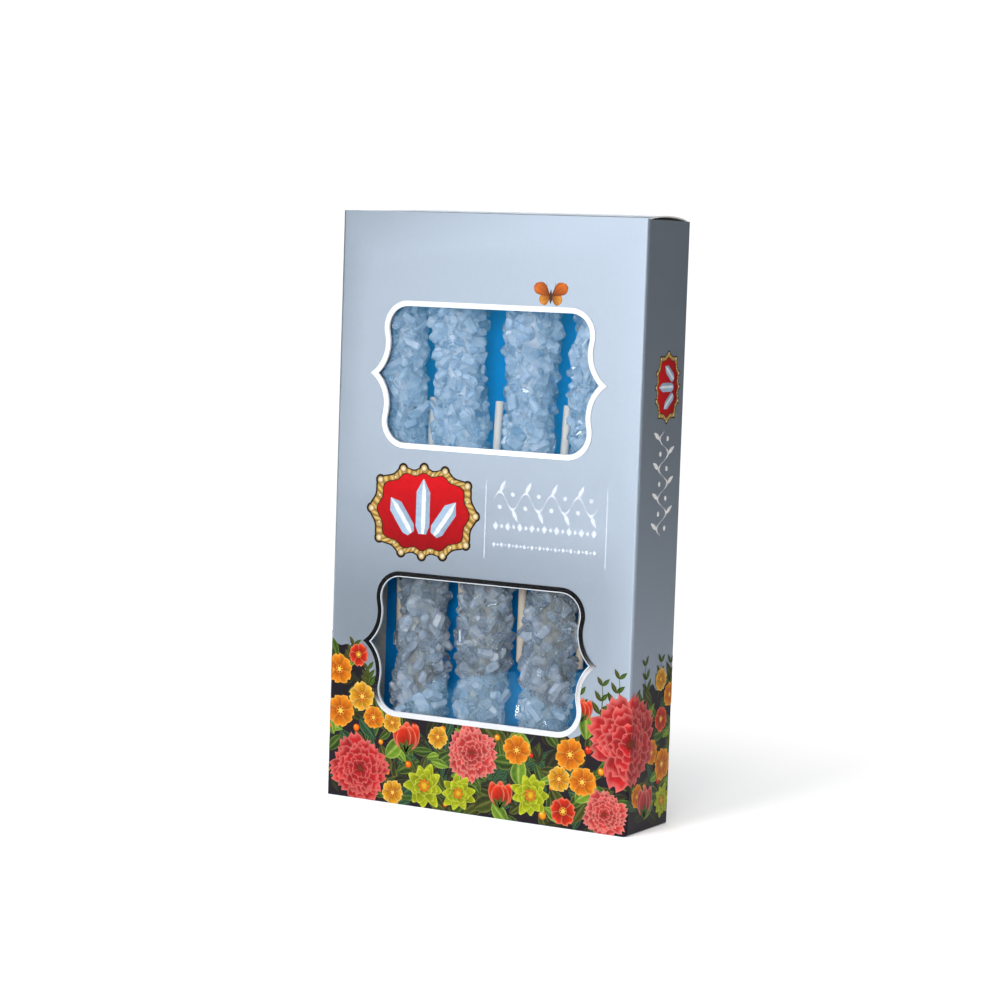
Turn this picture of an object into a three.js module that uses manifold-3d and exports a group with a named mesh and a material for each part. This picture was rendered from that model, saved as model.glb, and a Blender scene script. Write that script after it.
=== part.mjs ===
// A folded board carton with two shaped windows, standing upright, with seven rock candy sticks inside.
// Each stick is a plain birch dowel with a long cluster of sugar crystals grown on it. Four stand
// crystals up and three crystals down, turn by turn, so that the bare ends lie between the clusters of
// the other row. A clear film closes the windows from inside, and a blue card lies against the back.
// Millimetres, +Z up. The origin is the middle of the base, and the windows look along -Y.

import * as THREE from "three";
import { mergeVertices } from "three/addons/utils/BufferGeometryUtils.js";
import Module from "manifold-3d";

// Carton
const WIDTH = 122;
const DEPTH = 32;
const HEIGHT = 210;
const BOARD = 0.6;
const FOLD_RADIUS = 1.4;
const FOLD_STEPS = 3;
const TRIM_MARGIN = 1;

// Closing flaps: a panel hinged on the back wall with a tongue tucked in behind the front wall, over
// two short flaps folded in from the sides. The top panel springs up a little, less at its left end.
const PANEL_INSET = 0.6;
const TONGUE_LENGTH = 14;
const TONGUE_INSET = 2.5;
const TONGUE_CORNER = 6;
const SIDE_FLAP_LENGTH = 24;
const FLAP_GAP = 0.25;
const LID_SPRING = 2.2;
const LID_SPRING_LEFT = 0.6;
const LID_SPRING_RAMP = 30;
const LID_STEPS_ACROSS = 8;
const LID_STEPS_ALONG = 10;

// Windows: a plaque outline with round corners, whose sides sweep out to a point like a brace
const WINDOW_HALF_WIDTH = 40.1;
const WINDOW_HALF_HEIGHT = 24.1;
const WINDOW_CORNER = 7.6;
const WINDOW_SWEEP = 14.9;
const WINDOW_POINT = 44.1;
const WINDOW_CENTRES = [153, 57.3];
const CORNER_STEPS = 6;
const SWEEP_STEPS = 6;

// Film and card, and the level of what stands on the bottom flaps
const GAP = 0.3;
const FLOOR_LEVEL = 2 * BOARD + FLAP_GAP + GAP;
const FILM = { halfWidth: 52, bottom: 22, top: 188, thickness: 0.25 };
const CARD = { halfWidth: 56.5, bottom: FLOOR_LEVEL, top: 206, thickness: 0.5 };

// Sticks: the dowel, then where the crystals start and end along it and their outer radius
const DOWEL_RADIUS = 1.5;
const DOWEL_LENGTH = 140.5;
const DOWEL_CHAMFER = 0.3;
const DOWEL_SIDES = 12;
const BORE_SIDES = 10;
const CLUSTER_START = 46.5;
const CLUSTER_END = 143.2;
const CLUSTER_RADIUS = 10.6;

// The cluster's outline as shares of its length and radius: a narrow neck, a wavy waist, a round tip
const NECK_RADIUS = 0.55;
const NECK_LENGTH = 0.13;
const WAIST_DEPTH = 0.07;
const WAIST_TURNS = [9, 15];
const TIP_LENGTH = 0.08;
const TIP_RADIUS = 0.6;

// The mass of small crystals under the large ones, as a share of the outer radius, with every corner of
// it pushed in or out and up or down by its own amount
const CORE_SHARE = 0.85;
const CORE_SIDES = 12;
const CORE_RINGS = 20;
const CORE_END_SHARE = 0.02;
const CORE_BUMP = 0.13;
const CORE_SHIFT = 1.3;

// Crystals: size range, the two shorter sides as shares of the longest, and the spread of their places
const CRYSTALS_PER_STICK = 26;
const CRYSTAL_SIZE = [6, 9];
const CRYSTAL_WIDTH = [0.72, 0.92];
const CRYSTAL_THICKNESS = [0.52, 0.72];
const CRYSTAL_LEAN = 0.23;
const CRYSTAL_REACH = [0.94, 1.06];
const CRYSTAL_STRAY = 0.25;
const GOLDEN_ANGLE = Math.PI * (3 - Math.sqrt(5));
const FIRST_SEED = 101;

// Where each stick stands: the bare end and the crystal end, as [x, y], and the height of the bare end
const BARE_END_UP = 52.5;
const BARE_END_DOWN = 144.5;
const STICKS_UP = [
  { bare: [-44.6, 5.4], tip: [-41.2, -5.2] },
  { bare: [-18.0, 5.4], tip: [-18.9, -5.4] },
  { bare: [5.4, 5.4], tip: [12.2, -5.3] },
  { bare: [29.0, 5.6], tip: [39.6, -5.2] },
];
const STICKS_DOWN = [
  { bare: [-33.4, 5.1], tip: [-29.8, -5.2] },
  { bare: [-6.2, 5.1], tip: [-5.3, -5.4] },
  { bare: [21.2, 5.1], tip: [20.5, -5.3] },
];

const wasm = await Module();
wasm.setup();

// Solids and meshes

function toSolid(geometry) {
  const bare = geometry.clone();
  bare.deleteAttribute("normal");
  bare.deleteAttribute("uv");
  const merged = mergeVertices(bare, 1e-5);
  return new wasm.Manifold(
    new wasm.Mesh({
      numProp: 3,
      vertProperties: new Float32Array(merged.attributes.position.array),
      triVerts: new Uint32Array(merged.index.array),
    }),
  );
}

function toGeometry(solid) {
  const mesh = solid.getMesh();
  const geometry = new THREE.BufferGeometry();
  geometry.setAttribute("position", new THREE.BufferAttribute(mesh.vertProperties, 3));
  geometry.setIndex(new THREE.BufferAttribute(mesh.triVerts, 1));
  geometry.computeVertexNormals();
  return geometry;
}

// A box given by any two opposite corners
function boxBetween(a, b) {
  const low = a.map((value, i) => Math.min(value, b[i]));
  const high = a.map((value, i) => Math.max(value, b[i]));
  const box = new THREE.BoxGeometry(...high.map((value, i) => value - low[i]));
  box.translate(...high.map((value, i) => (value + low[i]) / 2));
  return box;
}

function union(solids) {
  return solids.reduce((whole, next) => whole.add(next));
}

// A small generator of repeatable random numbers from 0 to 1
function seededRandom(seed) {
  let state = seed >>> 0;
  return () => {
    state = (state + 0x6d2b79f5) >>> 0;
    let t = Math.imul(state ^ (state >>> 15), state | 1);
    t ^= t + Math.imul(t ^ (t >>> 7), t | 61);
    return ((t ^ (t >>> 14)) >>> 0) / 4294967296;
  };
}

// Window outline: each quarter is a round corner that runs on into a hollow sweep, which ends at the
// point. The corner turns past the vertical by the angle at which the sweep meets the point exactly.
function windowShape() {
  const cornerX = WINDOW_HALF_WIDTH - WINDOW_CORNER;
  const cornerY = WINDOW_HALF_HEIGHT - WINDOW_CORNER;
  const reach = WINDOW_CORNER + WINDOW_SWEEP;
  const run = WINDOW_POINT - cornerX;
  const span = Math.hypot(run, cornerY);
  const along = (span ** 2 + reach ** 2 - WINDOW_SWEEP ** 2) / (2 * reach);
  const turn = Math.atan2(cornerY, run) - Math.acos(along / span);
  const sweepX = cornerX + reach * Math.cos(turn);
  const sweepY = cornerY - reach * Math.sin(turn);
  const pointAngle = Math.atan2(-sweepY, WINDOW_POINT - sweepX) + 2 * Math.PI;

  const quarter = [];
  for (let i = 0; i <= CORNER_STEPS; i += 1) {
    const angle = Math.PI / 2 - (i / CORNER_STEPS) * (Math.PI / 2 + turn);
    quarter.push([
      cornerX + WINDOW_CORNER * Math.cos(angle),
      cornerY + WINDOW_CORNER * Math.sin(angle),
    ]);
  }
  for (let i = 1; i <= SWEEP_STEPS; i += 1) {
    const angle = Math.PI - turn + (i / SWEEP_STEPS) * (pointAngle - (Math.PI - turn));
    quarter.push([
      sweepX + WINDOW_SWEEP * Math.cos(angle),
      sweepY + WINDOW_SWEEP * Math.sin(angle),
    ]);
  }
  const lower = quarter.slice(0, -1).reverse().map(([x, y]) => [x, -y]);
  const right = [...quarter, ...lower];
  const left = right.map(([x, y]) => [-x, -y]);
  return new THREE.Shape([...right, ...left].map(([x, y]) => new THREE.Vector2(x, y)));
}

// A shape drawn in X and Z, pushed through the front wall along Y
function windowCutter(centreZ) {
  const depth = 4 * BOARD;
  const geometry = new THREE.ExtrudeGeometry(windowShape(), { depth, bevelEnabled: false });
  geometry.rotateX(Math.PI / 2);
  geometry.translate(0, -DEPTH / 2 + depth - BOARD, centreZ);
  return toSolid(geometry);
}

// Carton

function roundedRectangle(halfX, halfY, radius) {
  const points = [];
  const corners = [
    [1, 1, 0],
    [-1, 1, 1],
    [-1, -1, 2],
    [1, -1, 3],
  ];
  for (const [signX, signY, quarter] of corners) {
    for (let i = 0; i <= FOLD_STEPS; i += 1) {
      const angle = (quarter + i / FOLD_STEPS) * (Math.PI / 2);
      points.push(
        new THREE.Vector2(
          signX * (halfX - radius) + radius * Math.cos(angle),
          signY * (halfY - radius) + radius * Math.sin(angle),
        ),
      );
    }
  }
  return new THREE.Shape(points);
}

function sleeve() {
  const outer = new THREE.ExtrudeGeometry(
    roundedRectangle(WIDTH / 2, DEPTH / 2, FOLD_RADIUS),
    { depth: HEIGHT, bevelEnabled: false },
  );
  const inner = new THREE.ExtrudeGeometry(
    roundedRectangle(WIDTH / 2 - BOARD, DEPTH / 2 - BOARD, FOLD_RADIUS - BOARD),
    { depth: HEIGHT + 2 * BOARD, bevelEnabled: false },
  );
  inner.translate(0, 0, -BOARD);
  return toSolid(outer).subtract(toSolid(inner));
}

// How far the top panel stands up, for a place x along it and a share of its depth from the front:
// a parabola across, lower at the left end
function lidRise(x, across) {
  const ramp = THREE.MathUtils.smoothstep(x, -WIDTH / 2, -WIDTH / 2 + LID_SPRING_RAMP);
  const spring = THREE.MathUtils.lerp(LID_SPRING_LEFT, LID_SPRING, ramp);
  return spring * 4 * across * (1 - across);
}

// The panel that covers the end, with its outer face at z = 0 where it isn't sprung
function closingPanel(rise) {
  const front = -DEPTH / 2 + BOARD + FLAP_GAP;
  const back = DEPTH / 2 - FOLD_RADIUS;
  const length = WIDTH - 2 * PANEL_INSET;
  const panel = new THREE.BoxGeometry(
    length,
    back - front,
    BOARD,
    rise ? LID_STEPS_ALONG : 1,
    rise ? LID_STEPS_ACROSS : 1,
  );
  panel.translate(0, (front + back) / 2, -BOARD / 2);
  if (rise) {
    const position = panel.attributes.position;
    for (let i = 0; i < position.count; i += 1) {
      const across = (position.getY(i) - front) / (back - front);
      position.setZ(i, position.getZ(i) + rise(position.getX(i), across));
    }
  }
  return panel;
}

// The tongue hangs from the panel's front edge behind the front wall, with its two free corners cut round
function tongue() {
  const halfLength = WIDTH / 2 - TONGUE_INSET;
  const cornerX = halfLength - TONGUE_CORNER;
  const cornerY = TONGUE_CORNER - TONGUE_LENGTH;
  const shape = new THREE.Shape();
  shape.moveTo(-halfLength, 0);
  shape.absarc(-cornerX, cornerY, TONGUE_CORNER, Math.PI, 1.5 * Math.PI);
  shape.absarc(cornerX, cornerY, TONGUE_CORNER, -0.5 * Math.PI, 0);
  shape.lineTo(halfLength, 0);
  const plate = new THREE.ExtrudeGeometry(shape, {
    depth: BOARD,
    curveSegments: CORNER_STEPS,
    bevelEnabled: false,
  });
  plate.rotateX(Math.PI / 2);
  plate.translate(0, -DEPTH / 2 + 2 * BOARD + FLAP_GAP, 0);
  return plate;
}

// The round fold that carries a panel from the back wall, as a quarter tube along X
function backFold() {
  const shape = new THREE.Shape();
  shape.absarc(0, 0, FOLD_RADIUS, 0, Math.PI / 2, false);
  shape.absarc(0, 0, FOLD_RADIUS - BOARD, Math.PI / 2, 0, true);
  const length = WIDTH - 2 * FOLD_RADIUS;
  const fold = new THREE.ExtrudeGeometry(shape, {
    depth: length,
    curveSegments: FOLD_STEPS,
    bevelEnabled: false,
  });
  const axes = new THREE.Matrix4().makeBasis(
    new THREE.Vector3(0, 1, 0),
    new THREE.Vector3(0, 0, 1),
    new THREE.Vector3(1, 0, 0),
  );
  fold.applyMatrix4(axes);
  fold.translate(-length / 2, DEPTH / 2 - FOLD_RADIUS, -FOLD_RADIUS);
  return fold;
}

// Everything that closes one end, with the end's outer face at z = 0 and the carton below it
function closure(rise) {
  const flapTop = -BOARD - FLAP_GAP;
  const flapFront = -DEPTH / 2 + 2 * BOARD + 2 * FLAP_GAP;
  const flapBack = DEPTH / 2 - BOARD - FLAP_GAP;
  const sideFlaps = [-1, 1].map((side) =>
    boxBetween(
      [side * (WIDTH / 2 - BOARD / 2), flapFront, flapTop],
      [side * (WIDTH / 2 - BOARD - SIDE_FLAP_LENGTH), flapBack, flapTop - BOARD],
    ),
  );
  return union([closingPanel(rise), tongue(), backFold(), ...sideFlaps].map(toSolid));
}

// What the walls lack at one end: the back wall stops at the round fold, and the side walls stop under
// the panel that covers them
function endTrims(end) {
  const inward = end === 0 ? 1 : -1;
  const outside = end - inward * TRIM_MARGIN;
  const foldEnd = WIDTH / 2 - FOLD_RADIUS;
  const backTrim = boxBetween(
    [-foldEnd, DEPTH / 2 - FOLD_RADIUS, outside],
    [foldEnd, DEPTH / 2 + TRIM_MARGIN, end + inward * FOLD_RADIUS],
  );
  const sideTrims = [-1, 1].map((side) =>
    boxBetween(
      [side * foldEnd, -DEPTH / 2 + BOARD, outside],
      [side * (WIDTH / 2 + TRIM_MARGIN), DEPTH / 2 + TRIM_MARGIN, end + inward * (BOARD + FLAP_GAP)],
    ),
  );
  return [backTrim, ...sideTrims].map(toSolid);
}

function cartonSolid() {
  const walls = sleeve().subtract(union([...endTrims(0), ...endTrims(HEIGHT)]));
  const top = closure(lidRise).translate([0, 0, HEIGHT]);
  const bottom = closure(null).mirror([0, 0, 1]);
  const windows = union(WINDOW_CENTRES.map(windowCutter));
  return union([walls, top, bottom]).subtract(windows);
}

// Sticks

// A turned profile along Z that starts and ends on the axis
function turned(profile, sides) {
  const lathe = new THREE.LatheGeometry(
    profile.map(([radius, height]) => new THREE.Vector2(radius, height)),
    sides,
  );
  lathe.rotateX(Math.PI / 2);
  return lathe;
}

function dowelGeometry() {
  return turned(
    [
      [0, 0],
      [DOWEL_RADIUS - DOWEL_CHAMFER, 0],
      [DOWEL_RADIUS, DOWEL_CHAMFER],
      [DOWEL_RADIUS, DOWEL_LENGTH - DOWEL_CHAMFER],
      [DOWEL_RADIUS - DOWEL_CHAMFER, DOWEL_LENGTH],
      [0, DOWEL_LENGTH],
    ],
    DOWEL_SIDES,
  );
}

// The room that a dowel takes in a cluster, its own or a neighbour's
function dowelRoom() {
  const radius = DOWEL_RADIUS + GAP;
  return turned(
    [
      [0, -GAP],
      [radius, -GAP],
      [radius, DOWEL_LENGTH + GAP],
      [0, DOWEL_LENGTH + GAP],
    ],
    BORE_SIDES,
  );
}

// Outer radius of a cluster, for a share of its length from 0 at the neck to 1 at the tip: it swells
// quickly from the bare dowel, stays full with a slow wave in it, and rounds off at the tip
function clusterRadius(share, wave) {
  const swell = THREE.MathUtils.smoothstep(share, 0, NECK_LENGTH);
  const neck = THREE.MathUtils.lerp(NECK_RADIUS, 1, swell);
  const past = Math.max(0, (share - 1 + TIP_LENGTH) / TIP_LENGTH);
  const tip = THREE.MathUtils.lerp(TIP_RADIUS, 1, Math.sqrt(Math.max(0, 1 - past ** 2)));
  const waist = 1 + WAIST_DEPTH * Math.sin(share * wave.turns + wave.start);
  return CLUSTER_RADIUS * neck * tip * waist;
}

function clusterCore(wave, random) {
  const profile = [[0, CLUSTER_START + CORE_SHIFT]];
  for (let i = 0; i < CORE_RINGS; i += 1) {
    const share = THREE.MathUtils.lerp(CORE_END_SHARE, 1 - CORE_END_SHARE, i / (CORE_RINGS - 1));
    profile.push([
      CORE_SHARE * clusterRadius(share, wave),
      THREE.MathUtils.lerp(CLUSTER_START, CLUSTER_END, share),
    ]);
  }
  profile.push([0, CLUSTER_END - CORE_SHIFT]);
  const core = turned(profile, CORE_SIDES);
  const rings = profile.length;
  const nudges = Array.from({ length: CORE_SIDES * rings }, () => ({
    out: 1 + CORE_BUMP * (2 * random() - 1),
    up: CORE_SHIFT * (2 * random() - 1),
  }));
  const position = core.attributes.position;
  const corner = new THREE.Vector3();
  for (let i = 0; i < position.count; i += 1) {
    const ring = i % rings;
    const side = Math.floor(i / rings) % CORE_SIDES;
    const { out, up } = nudges[side * rings + ring];
    corner.fromBufferAttribute(position, i);
    const onAxis = ring === 0 || ring === rings - 1;
    const atEnd = onAxis || ring === 1 || ring === rings - 2;
    corner.set(corner.x * out, corner.y * out, corner.z + (atEnd ? 0 : up));
    corner.applyAxisAngle(new THREE.Vector3(0, 0, 1), ((ring % 2) * Math.PI) / CORE_SIDES);
    position.setXYZ(i, ...corner);
  }
  return toSolid(core);
}

// One sugar crystal: a block with a pair of leaning faces, turned at random
function crystal(random) {
  const length = THREE.MathUtils.lerp(...CRYSTAL_SIZE, random());
  const width = length * THREE.MathUtils.lerp(...CRYSTAL_WIDTH, random());
  const thickness = length * THREE.MathUtils.lerp(...CRYSTAL_THICKNESS, random());
  const block = new THREE.BoxGeometry(width, thickness, length);
  block.applyMatrix4(new THREE.Matrix4().makeShear(0, 0, 0, 0, CRYSTAL_LEAN, 0));
  const turn = new THREE.Euler(
    Math.PI * random(),
    Math.PI * random(),
    2 * Math.PI * random(),
  );
  block.applyMatrix4(new THREE.Matrix4().makeRotationFromEuler(turn));
  return block;
}

// Crystals spread over the core on a golden-angle spiral. Each is sunk so that its farthest corner
// reaches about the cluster's radius, and kept between the cluster's two ends.
function clusterSolid(seed) {
  const random = seededRandom(seed);
  const wave = {
    turns: THREE.MathUtils.lerp(...WAIST_TURNS, random()),
    start: 2 * Math.PI * random(),
  };
  const pieces = [clusterCore(wave, random)];
  for (let i = 0; i < CRYSTALS_PER_STICK; i += 1) {
    const share = (i + 0.5) / CRYSTALS_PER_STICK;
    const angle = i * GOLDEN_ANGLE + CRYSTAL_STRAY * (2 * random() - 1);
    const outward = new THREE.Vector3(Math.cos(angle), Math.sin(angle), 0);
    const block = crystal(random);
    const reach = clusterRadius(share, wave) * THREE.MathUtils.lerp(...CRYSTAL_REACH, random());
    const place = outward.clone().multiplyScalar(reach - farthestAlong(block, outward));
    const halfHeight = farthestAlong(block, new THREE.Vector3(0, 0, 1));
    place.z = THREE.MathUtils.clamp(
      THREE.MathUtils.lerp(CLUSTER_START, CLUSTER_END, share),
      CLUSTER_START + halfHeight,
      CLUSTER_END - halfHeight,
    );
    block.translate(...place);
    pieces.push(toSolid(block));
  }
  return union(pieces);
}

// How far a geometry reaches from the origin along a direction
function farthestAlong(geometry, direction) {
  const position = geometry.attributes.position;
  const corner = new THREE.Vector3();
  let farthest = 0;
  for (let i = 0; i < position.count; i += 1) {
    farthest = Math.max(farthest, corner.fromBufferAttribute(position, i).dot(direction));
  }
  return farthest;
}

// The group that holds one stick: its own Z runs from the bare end to the crystals
function stickGroup({ bare, tip }, pointsUp) {
  const slant = new THREE.Vector3(tip[0] - bare[0], tip[1] - bare[1], 0);
  const rise = Math.sqrt(DOWEL_LENGTH ** 2 - slant.lengthSq());
  const along = slant.setZ(pointsUp ? rise : -rise).normalize();
  const third = new THREE.Vector3().crossVectors(along, new THREE.Vector3(1, 0, 0)).normalize();
  const first = new THREE.Vector3().crossVectors(third, along);
  const group = new THREE.Group();
  group.quaternion.setFromRotationMatrix(new THREE.Matrix4().makeBasis(first, third, along));
  group.position.set(...bare, pointsUp ? BARE_END_UP : BARE_END_DOWN);
  group.updateMatrixWorld(true);
  return group;
}

// The space between the film and the card, the walls and the flaps
function insideOfCarton() {
  const side = WIDTH / 2 - BOARD - GAP;
  return boxBetween(
    [-side, -DEPTH / 2 + BOARD + 2 * GAP + FILM.thickness, FLOOR_LEVEL],
    [side, DEPTH / 2 - BOARD - 2 * GAP - CARD.thickness, HEIGHT - TONGUE_LENGTH],
  );
}

// A geometry as a solid, moved by a matrix
function movedSolid(geometry, matrix) {
  return toSolid(geometry).transform(matrix.elements);
}

// The crystals on one stick, cut clear of every dowel and of what closes them in, and without the
// loose chips that the cuts leave
function trimmedCluster(seed, group, groups) {
  const toGroup = group.matrixWorld.clone().invert();
  const dowels = groups.map((other) =>
    movedSolid(dowelRoom(), toGroup.clone().multiply(other.matrixWorld)),
  );
  const trimmed = clusterSolid(seed)
    .subtract(union(dowels))
    .intersect(movedSolid(insideOfCarton(), toGroup));
  const [largest] = trimmed.decompose().sort((a, b) => b.volume() - a.volume());
  return toGeometry(largest);
}

// Materials

const materials = {
  board: new THREE.MeshStandardMaterial({ color: 0xc3d0e0, roughness: 0.42, metalness: 0.35 }),
  film: new THREE.MeshStandardMaterial({
    color: 0xf2f7fa,
    roughness: 0.08,
    transparent: true,
    opacity: 0.15,
  }),
  card: new THREE.MeshStandardMaterial({ color: 0x0a6fb8, roughness: 0.5 }),
  wood: new THREE.MeshStandardMaterial({ color: 0xe2d0b0, roughness: 0.65 }),
  sugar: new THREE.MeshStandardMaterial({
    color: 0xdfe8ef,
    roughness: 0.12,
    transparent: true,
    opacity: 0.6,
  }),
};

// Assembly

const pack = new THREE.Group();

function add(parent, name, geometry, material) {
  const mesh = new THREE.Mesh(geometry, material);
  mesh.name = name;
  parent.add(mesh);
}

add(pack, "carton", toGeometry(cartonSolid()), materials.board);

const filmFront = -DEPTH / 2 + BOARD + GAP;
add(
  pack,
  "window_film",
  boxBetween(
    [-FILM.halfWidth, filmFront, FILM.bottom],
    [FILM.halfWidth, filmFront + FILM.thickness, FILM.top],
  ),
  materials.film,
);

const cardBack = DEPTH / 2 - BOARD - GAP;
add(
  pack,
  "backing_card",
  boxBetween(
    [-CARD.halfWidth, cardBack - CARD.thickness, CARD.bottom],
    [CARD.halfWidth, cardBack, CARD.top],
  ),
  materials.card,
);

const sticks = [
  ...STICKS_UP.map((place, i) => ({ name: `up_${i + 1}`, group: stickGroup(place, true) })),
  ...STICKS_DOWN.map((place, i) => ({ name: `down_${i + 1}`, group: stickGroup(place, false) })),
];
const groups = sticks.map(({ group }) => group);
sticks.forEach(({ name, group }, i) => {
  add(group, `dowel_${name}`, dowelGeometry(), materials.wood);
  add(group, `crystals_${name}`, trimmedCluster(FIRST_SEED + i, group, groups), materials.sugar);
  pack.add(group);
});

export default pack;
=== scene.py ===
# Rock candy sticks in a windowed carton. Seven sugar-covered sticks stand between a clear film and a
# blue card, in a folded board box with a silver ground and a printed band of flowers.
# Metres, +Z up. The origin is the middle of the base, and the windows look along -Y.

import math

import bmesh
import bpy
import numpy as np
from mathutils import Matrix, Vector


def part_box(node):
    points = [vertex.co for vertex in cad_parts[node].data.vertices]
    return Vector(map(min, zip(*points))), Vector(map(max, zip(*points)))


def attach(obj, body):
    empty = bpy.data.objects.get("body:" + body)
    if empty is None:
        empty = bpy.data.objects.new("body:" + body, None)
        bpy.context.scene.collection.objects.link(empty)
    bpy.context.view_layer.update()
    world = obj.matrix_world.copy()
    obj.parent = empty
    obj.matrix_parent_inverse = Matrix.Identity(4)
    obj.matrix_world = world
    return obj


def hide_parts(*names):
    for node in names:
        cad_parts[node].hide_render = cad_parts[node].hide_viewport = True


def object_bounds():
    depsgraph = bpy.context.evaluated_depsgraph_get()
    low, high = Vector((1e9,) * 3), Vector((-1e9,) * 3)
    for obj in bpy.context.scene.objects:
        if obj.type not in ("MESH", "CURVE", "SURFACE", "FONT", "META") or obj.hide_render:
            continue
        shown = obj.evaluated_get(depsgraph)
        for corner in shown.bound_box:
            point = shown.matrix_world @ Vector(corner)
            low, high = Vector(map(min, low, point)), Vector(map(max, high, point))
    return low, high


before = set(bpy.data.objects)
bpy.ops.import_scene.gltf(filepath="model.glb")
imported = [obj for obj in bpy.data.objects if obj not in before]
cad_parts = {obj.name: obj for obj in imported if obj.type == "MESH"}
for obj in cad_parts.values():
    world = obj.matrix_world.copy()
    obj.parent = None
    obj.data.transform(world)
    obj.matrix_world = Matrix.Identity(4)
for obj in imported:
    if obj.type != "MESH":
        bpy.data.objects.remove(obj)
cad_low, cad_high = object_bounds()

# Backing card: a sheet of board that stands behind the sticks, flat against the back wall. It is
# printed one even blue and left matt, so that the fibres of the board show faintly through the ink.

MM = 0.001


def ink(red, green, blue):
    """A colour mixed from screen values of 0 to 255, as linear light."""
    share = np.array([red, green, blue]) / 255
    return np.where(share <= 0.04045, share / 12.92, ((share + 0.055) / 1.055) ** 2.4)


def opaque(colour):
    """The same colour with a full fourth channel, as sockets take it."""
    return (*colour, 1.0)


def wired(tree, kind, sockets=None, **settings):
    """A new shader node with its settings. Each named or numbered socket gets a value or a link."""
    node = tree.nodes.new("ShaderNode" + kind)
    for name, value in settings.items():
        setattr(node, name, value)
    for socket, value in (sockets or {}).items():
        if isinstance(value, bpy.types.NodeSocket):
            tree.links.new(value, node.inputs[socket])
        else:
            node.inputs[socket].default_value = value
    return node


def ranged(tree, value, source, target, **settings):
    """The value carried over from the source range to the target range."""
    limits = {"From Min": source[0], "From Max": source[1], "To Min": target[0], "To Max": target[1]}
    return wired(tree, "MapRange", {"Value": value, **limits}, **settings).outputs["Result"]


def surface_of(material):
    """A material's surface shader."""
    return material.node_tree.nodes["Principled BSDF"]


def plain_finish(name, **settings):
    """A new material, even all over. Underscores in the settings stand for spaces."""
    material = bpy.data.materials.new(name)
    material.use_nodes = True
    for socket, value in settings.items():
        surface_of(material).inputs[socket.replace("_", " ")].default_value = value
    return material


MOTTLE_SHARPNESS = 1.5


def mottle_group():
    """Noise in the piece's own coordinates, multiplied by Grain. It blends two colours, and it
    spreads the roughness about its middle value."""
    group = bpy.data.node_groups.new("mottle", "ShaderNodeTree")
    sockets = {
        "INPUT": {
            "Grain": "Vector",
            "Detail": "Float",
            "Light colour": "Color",
            "Dark colour": "Color",
            "Roughness": "Float",
            "Roughness spread": "Float",
        },
        "OUTPUT": {"Colour": "Color", "Roughness": "Float", "Height": "Float"},
    }
    for direction, kinds in sockets.items():
        for name, kind in kinds.items():
            group.interface.new_socket(name, in_out=direction, socket_type="NodeSocket" + kind)
    given = group.nodes.new("NodeGroupInput").outputs
    place = wired(group, "TexCoord").outputs["Object"]
    grained = wired(group, "VectorMath", {0: place, 1: given["Grain"]}, operation="MULTIPLY")
    noise = wired(
        group, "TexNoise", {"Vector": grained.outputs[0], "Scale": 1, "Detail": given["Detail"]}
    )
    centred = wired(group, "Math", {0: noise.outputs["Fac"], 1: 0.5}, operation="SUBTRACT")
    steeper = wired(
        group,
        "Math",
        {0: centred.outputs[0], 1: MOTTLE_SHARPNESS, 2: 0.5},
        operation="MULTIPLY_ADD",
        use_clamp=True,
    )
    blended = wired(
        group,
        "Mix",
        {"Factor": steeper.outputs[0], 6: given["Dark colour"], 7: given["Light colour"]},
        data_type="RGBA",
    )
    roughness = wired(
        group,
        "Math",
        {0: centred.outputs[0], 1: given["Roughness spread"], 2: given["Roughness"]},
        operation="MULTIPLY_ADD",
    )
    put_out = group.nodes.new("NodeGroupOutput").inputs
    group.links.new(blended.outputs[2], put_out["Colour"])
    group.links.new(roughness.outputs[0], put_out["Roughness"])
    group.links.new(steeper.outputs[0], put_out["Height"])
    return group


mottle = mottle_group()


def mottled_finish(name, grain, light, dark, rough, spread=0.1, detail=3, bump=0, **settings):
    """A new material with the mottle group on it, and a bump of the given depth where there is one.
    Grain is how many times a metre the mottle turns along X, Y and Z."""
    material = plain_finish(name, **settings)
    tree, surface = material.node_tree, surface_of(material).inputs
    values = {
        "Grain": grain,
        "Detail": detail,
        "Light colour": opaque(light),
        "Dark colour": opaque(dark),
        "Roughness": rough,
        "Roughness spread": spread,
    }
    node = wired(tree, "Group", name="mottle", node_tree=mottle)
    for socket, value in values.items():
        node.inputs[socket].default_value = value
    tree.links.new(node.outputs["Colour"], surface["Base Color"])
    tree.links.new(node.outputs["Roughness"], surface["Roughness"])
    if bump:
        relief = wired(tree, "Bump", {"Distance": bump, "Height": node.outputs["Height"]})
        tree.links.new(relief.outputs["Normal"], surface["Normal"])
    return material


CARD_GRAIN = (900, 900, 2200)
CARD_FIBRE_DEPTH = 0.02 * MM

card_blue = mottled_finish(
    "card_blue", CARD_GRAIN, ink(0, 146, 228), ink(0, 133, 216), rough=0.5, bump=CARD_FIBRE_DEPTH, IOR=1.25
)
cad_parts["backing_card"].material_slots[0].material = card_blue

# Sticks: seven plain birch dowels, turned and cut square with the edges eased. Four stand crystals
# up and three crystals down, and each leans from the back of the box to the front.

STICKS = ["up_1", "up_2", "up_3", "up_4", "down_1", "down_2", "down_3"]
DOWEL_SIDES = 20
DOWEL_RINGS = 18
DOWEL_EASING = 0.35 * MM
BIRCH_GRAIN = (1900, 1900, 55)
BIRCH_GRAIN_DEPTH = 0.03 * MM


def corners(node):
    """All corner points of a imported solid, one row each."""
    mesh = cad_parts[node].data
    flat = np.empty(3 * len(mesh.vertices), np.float32)
    mesh.vertices.foreach_get("co", flat)
    return flat.reshape(-1, 3).astype(float)


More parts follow.
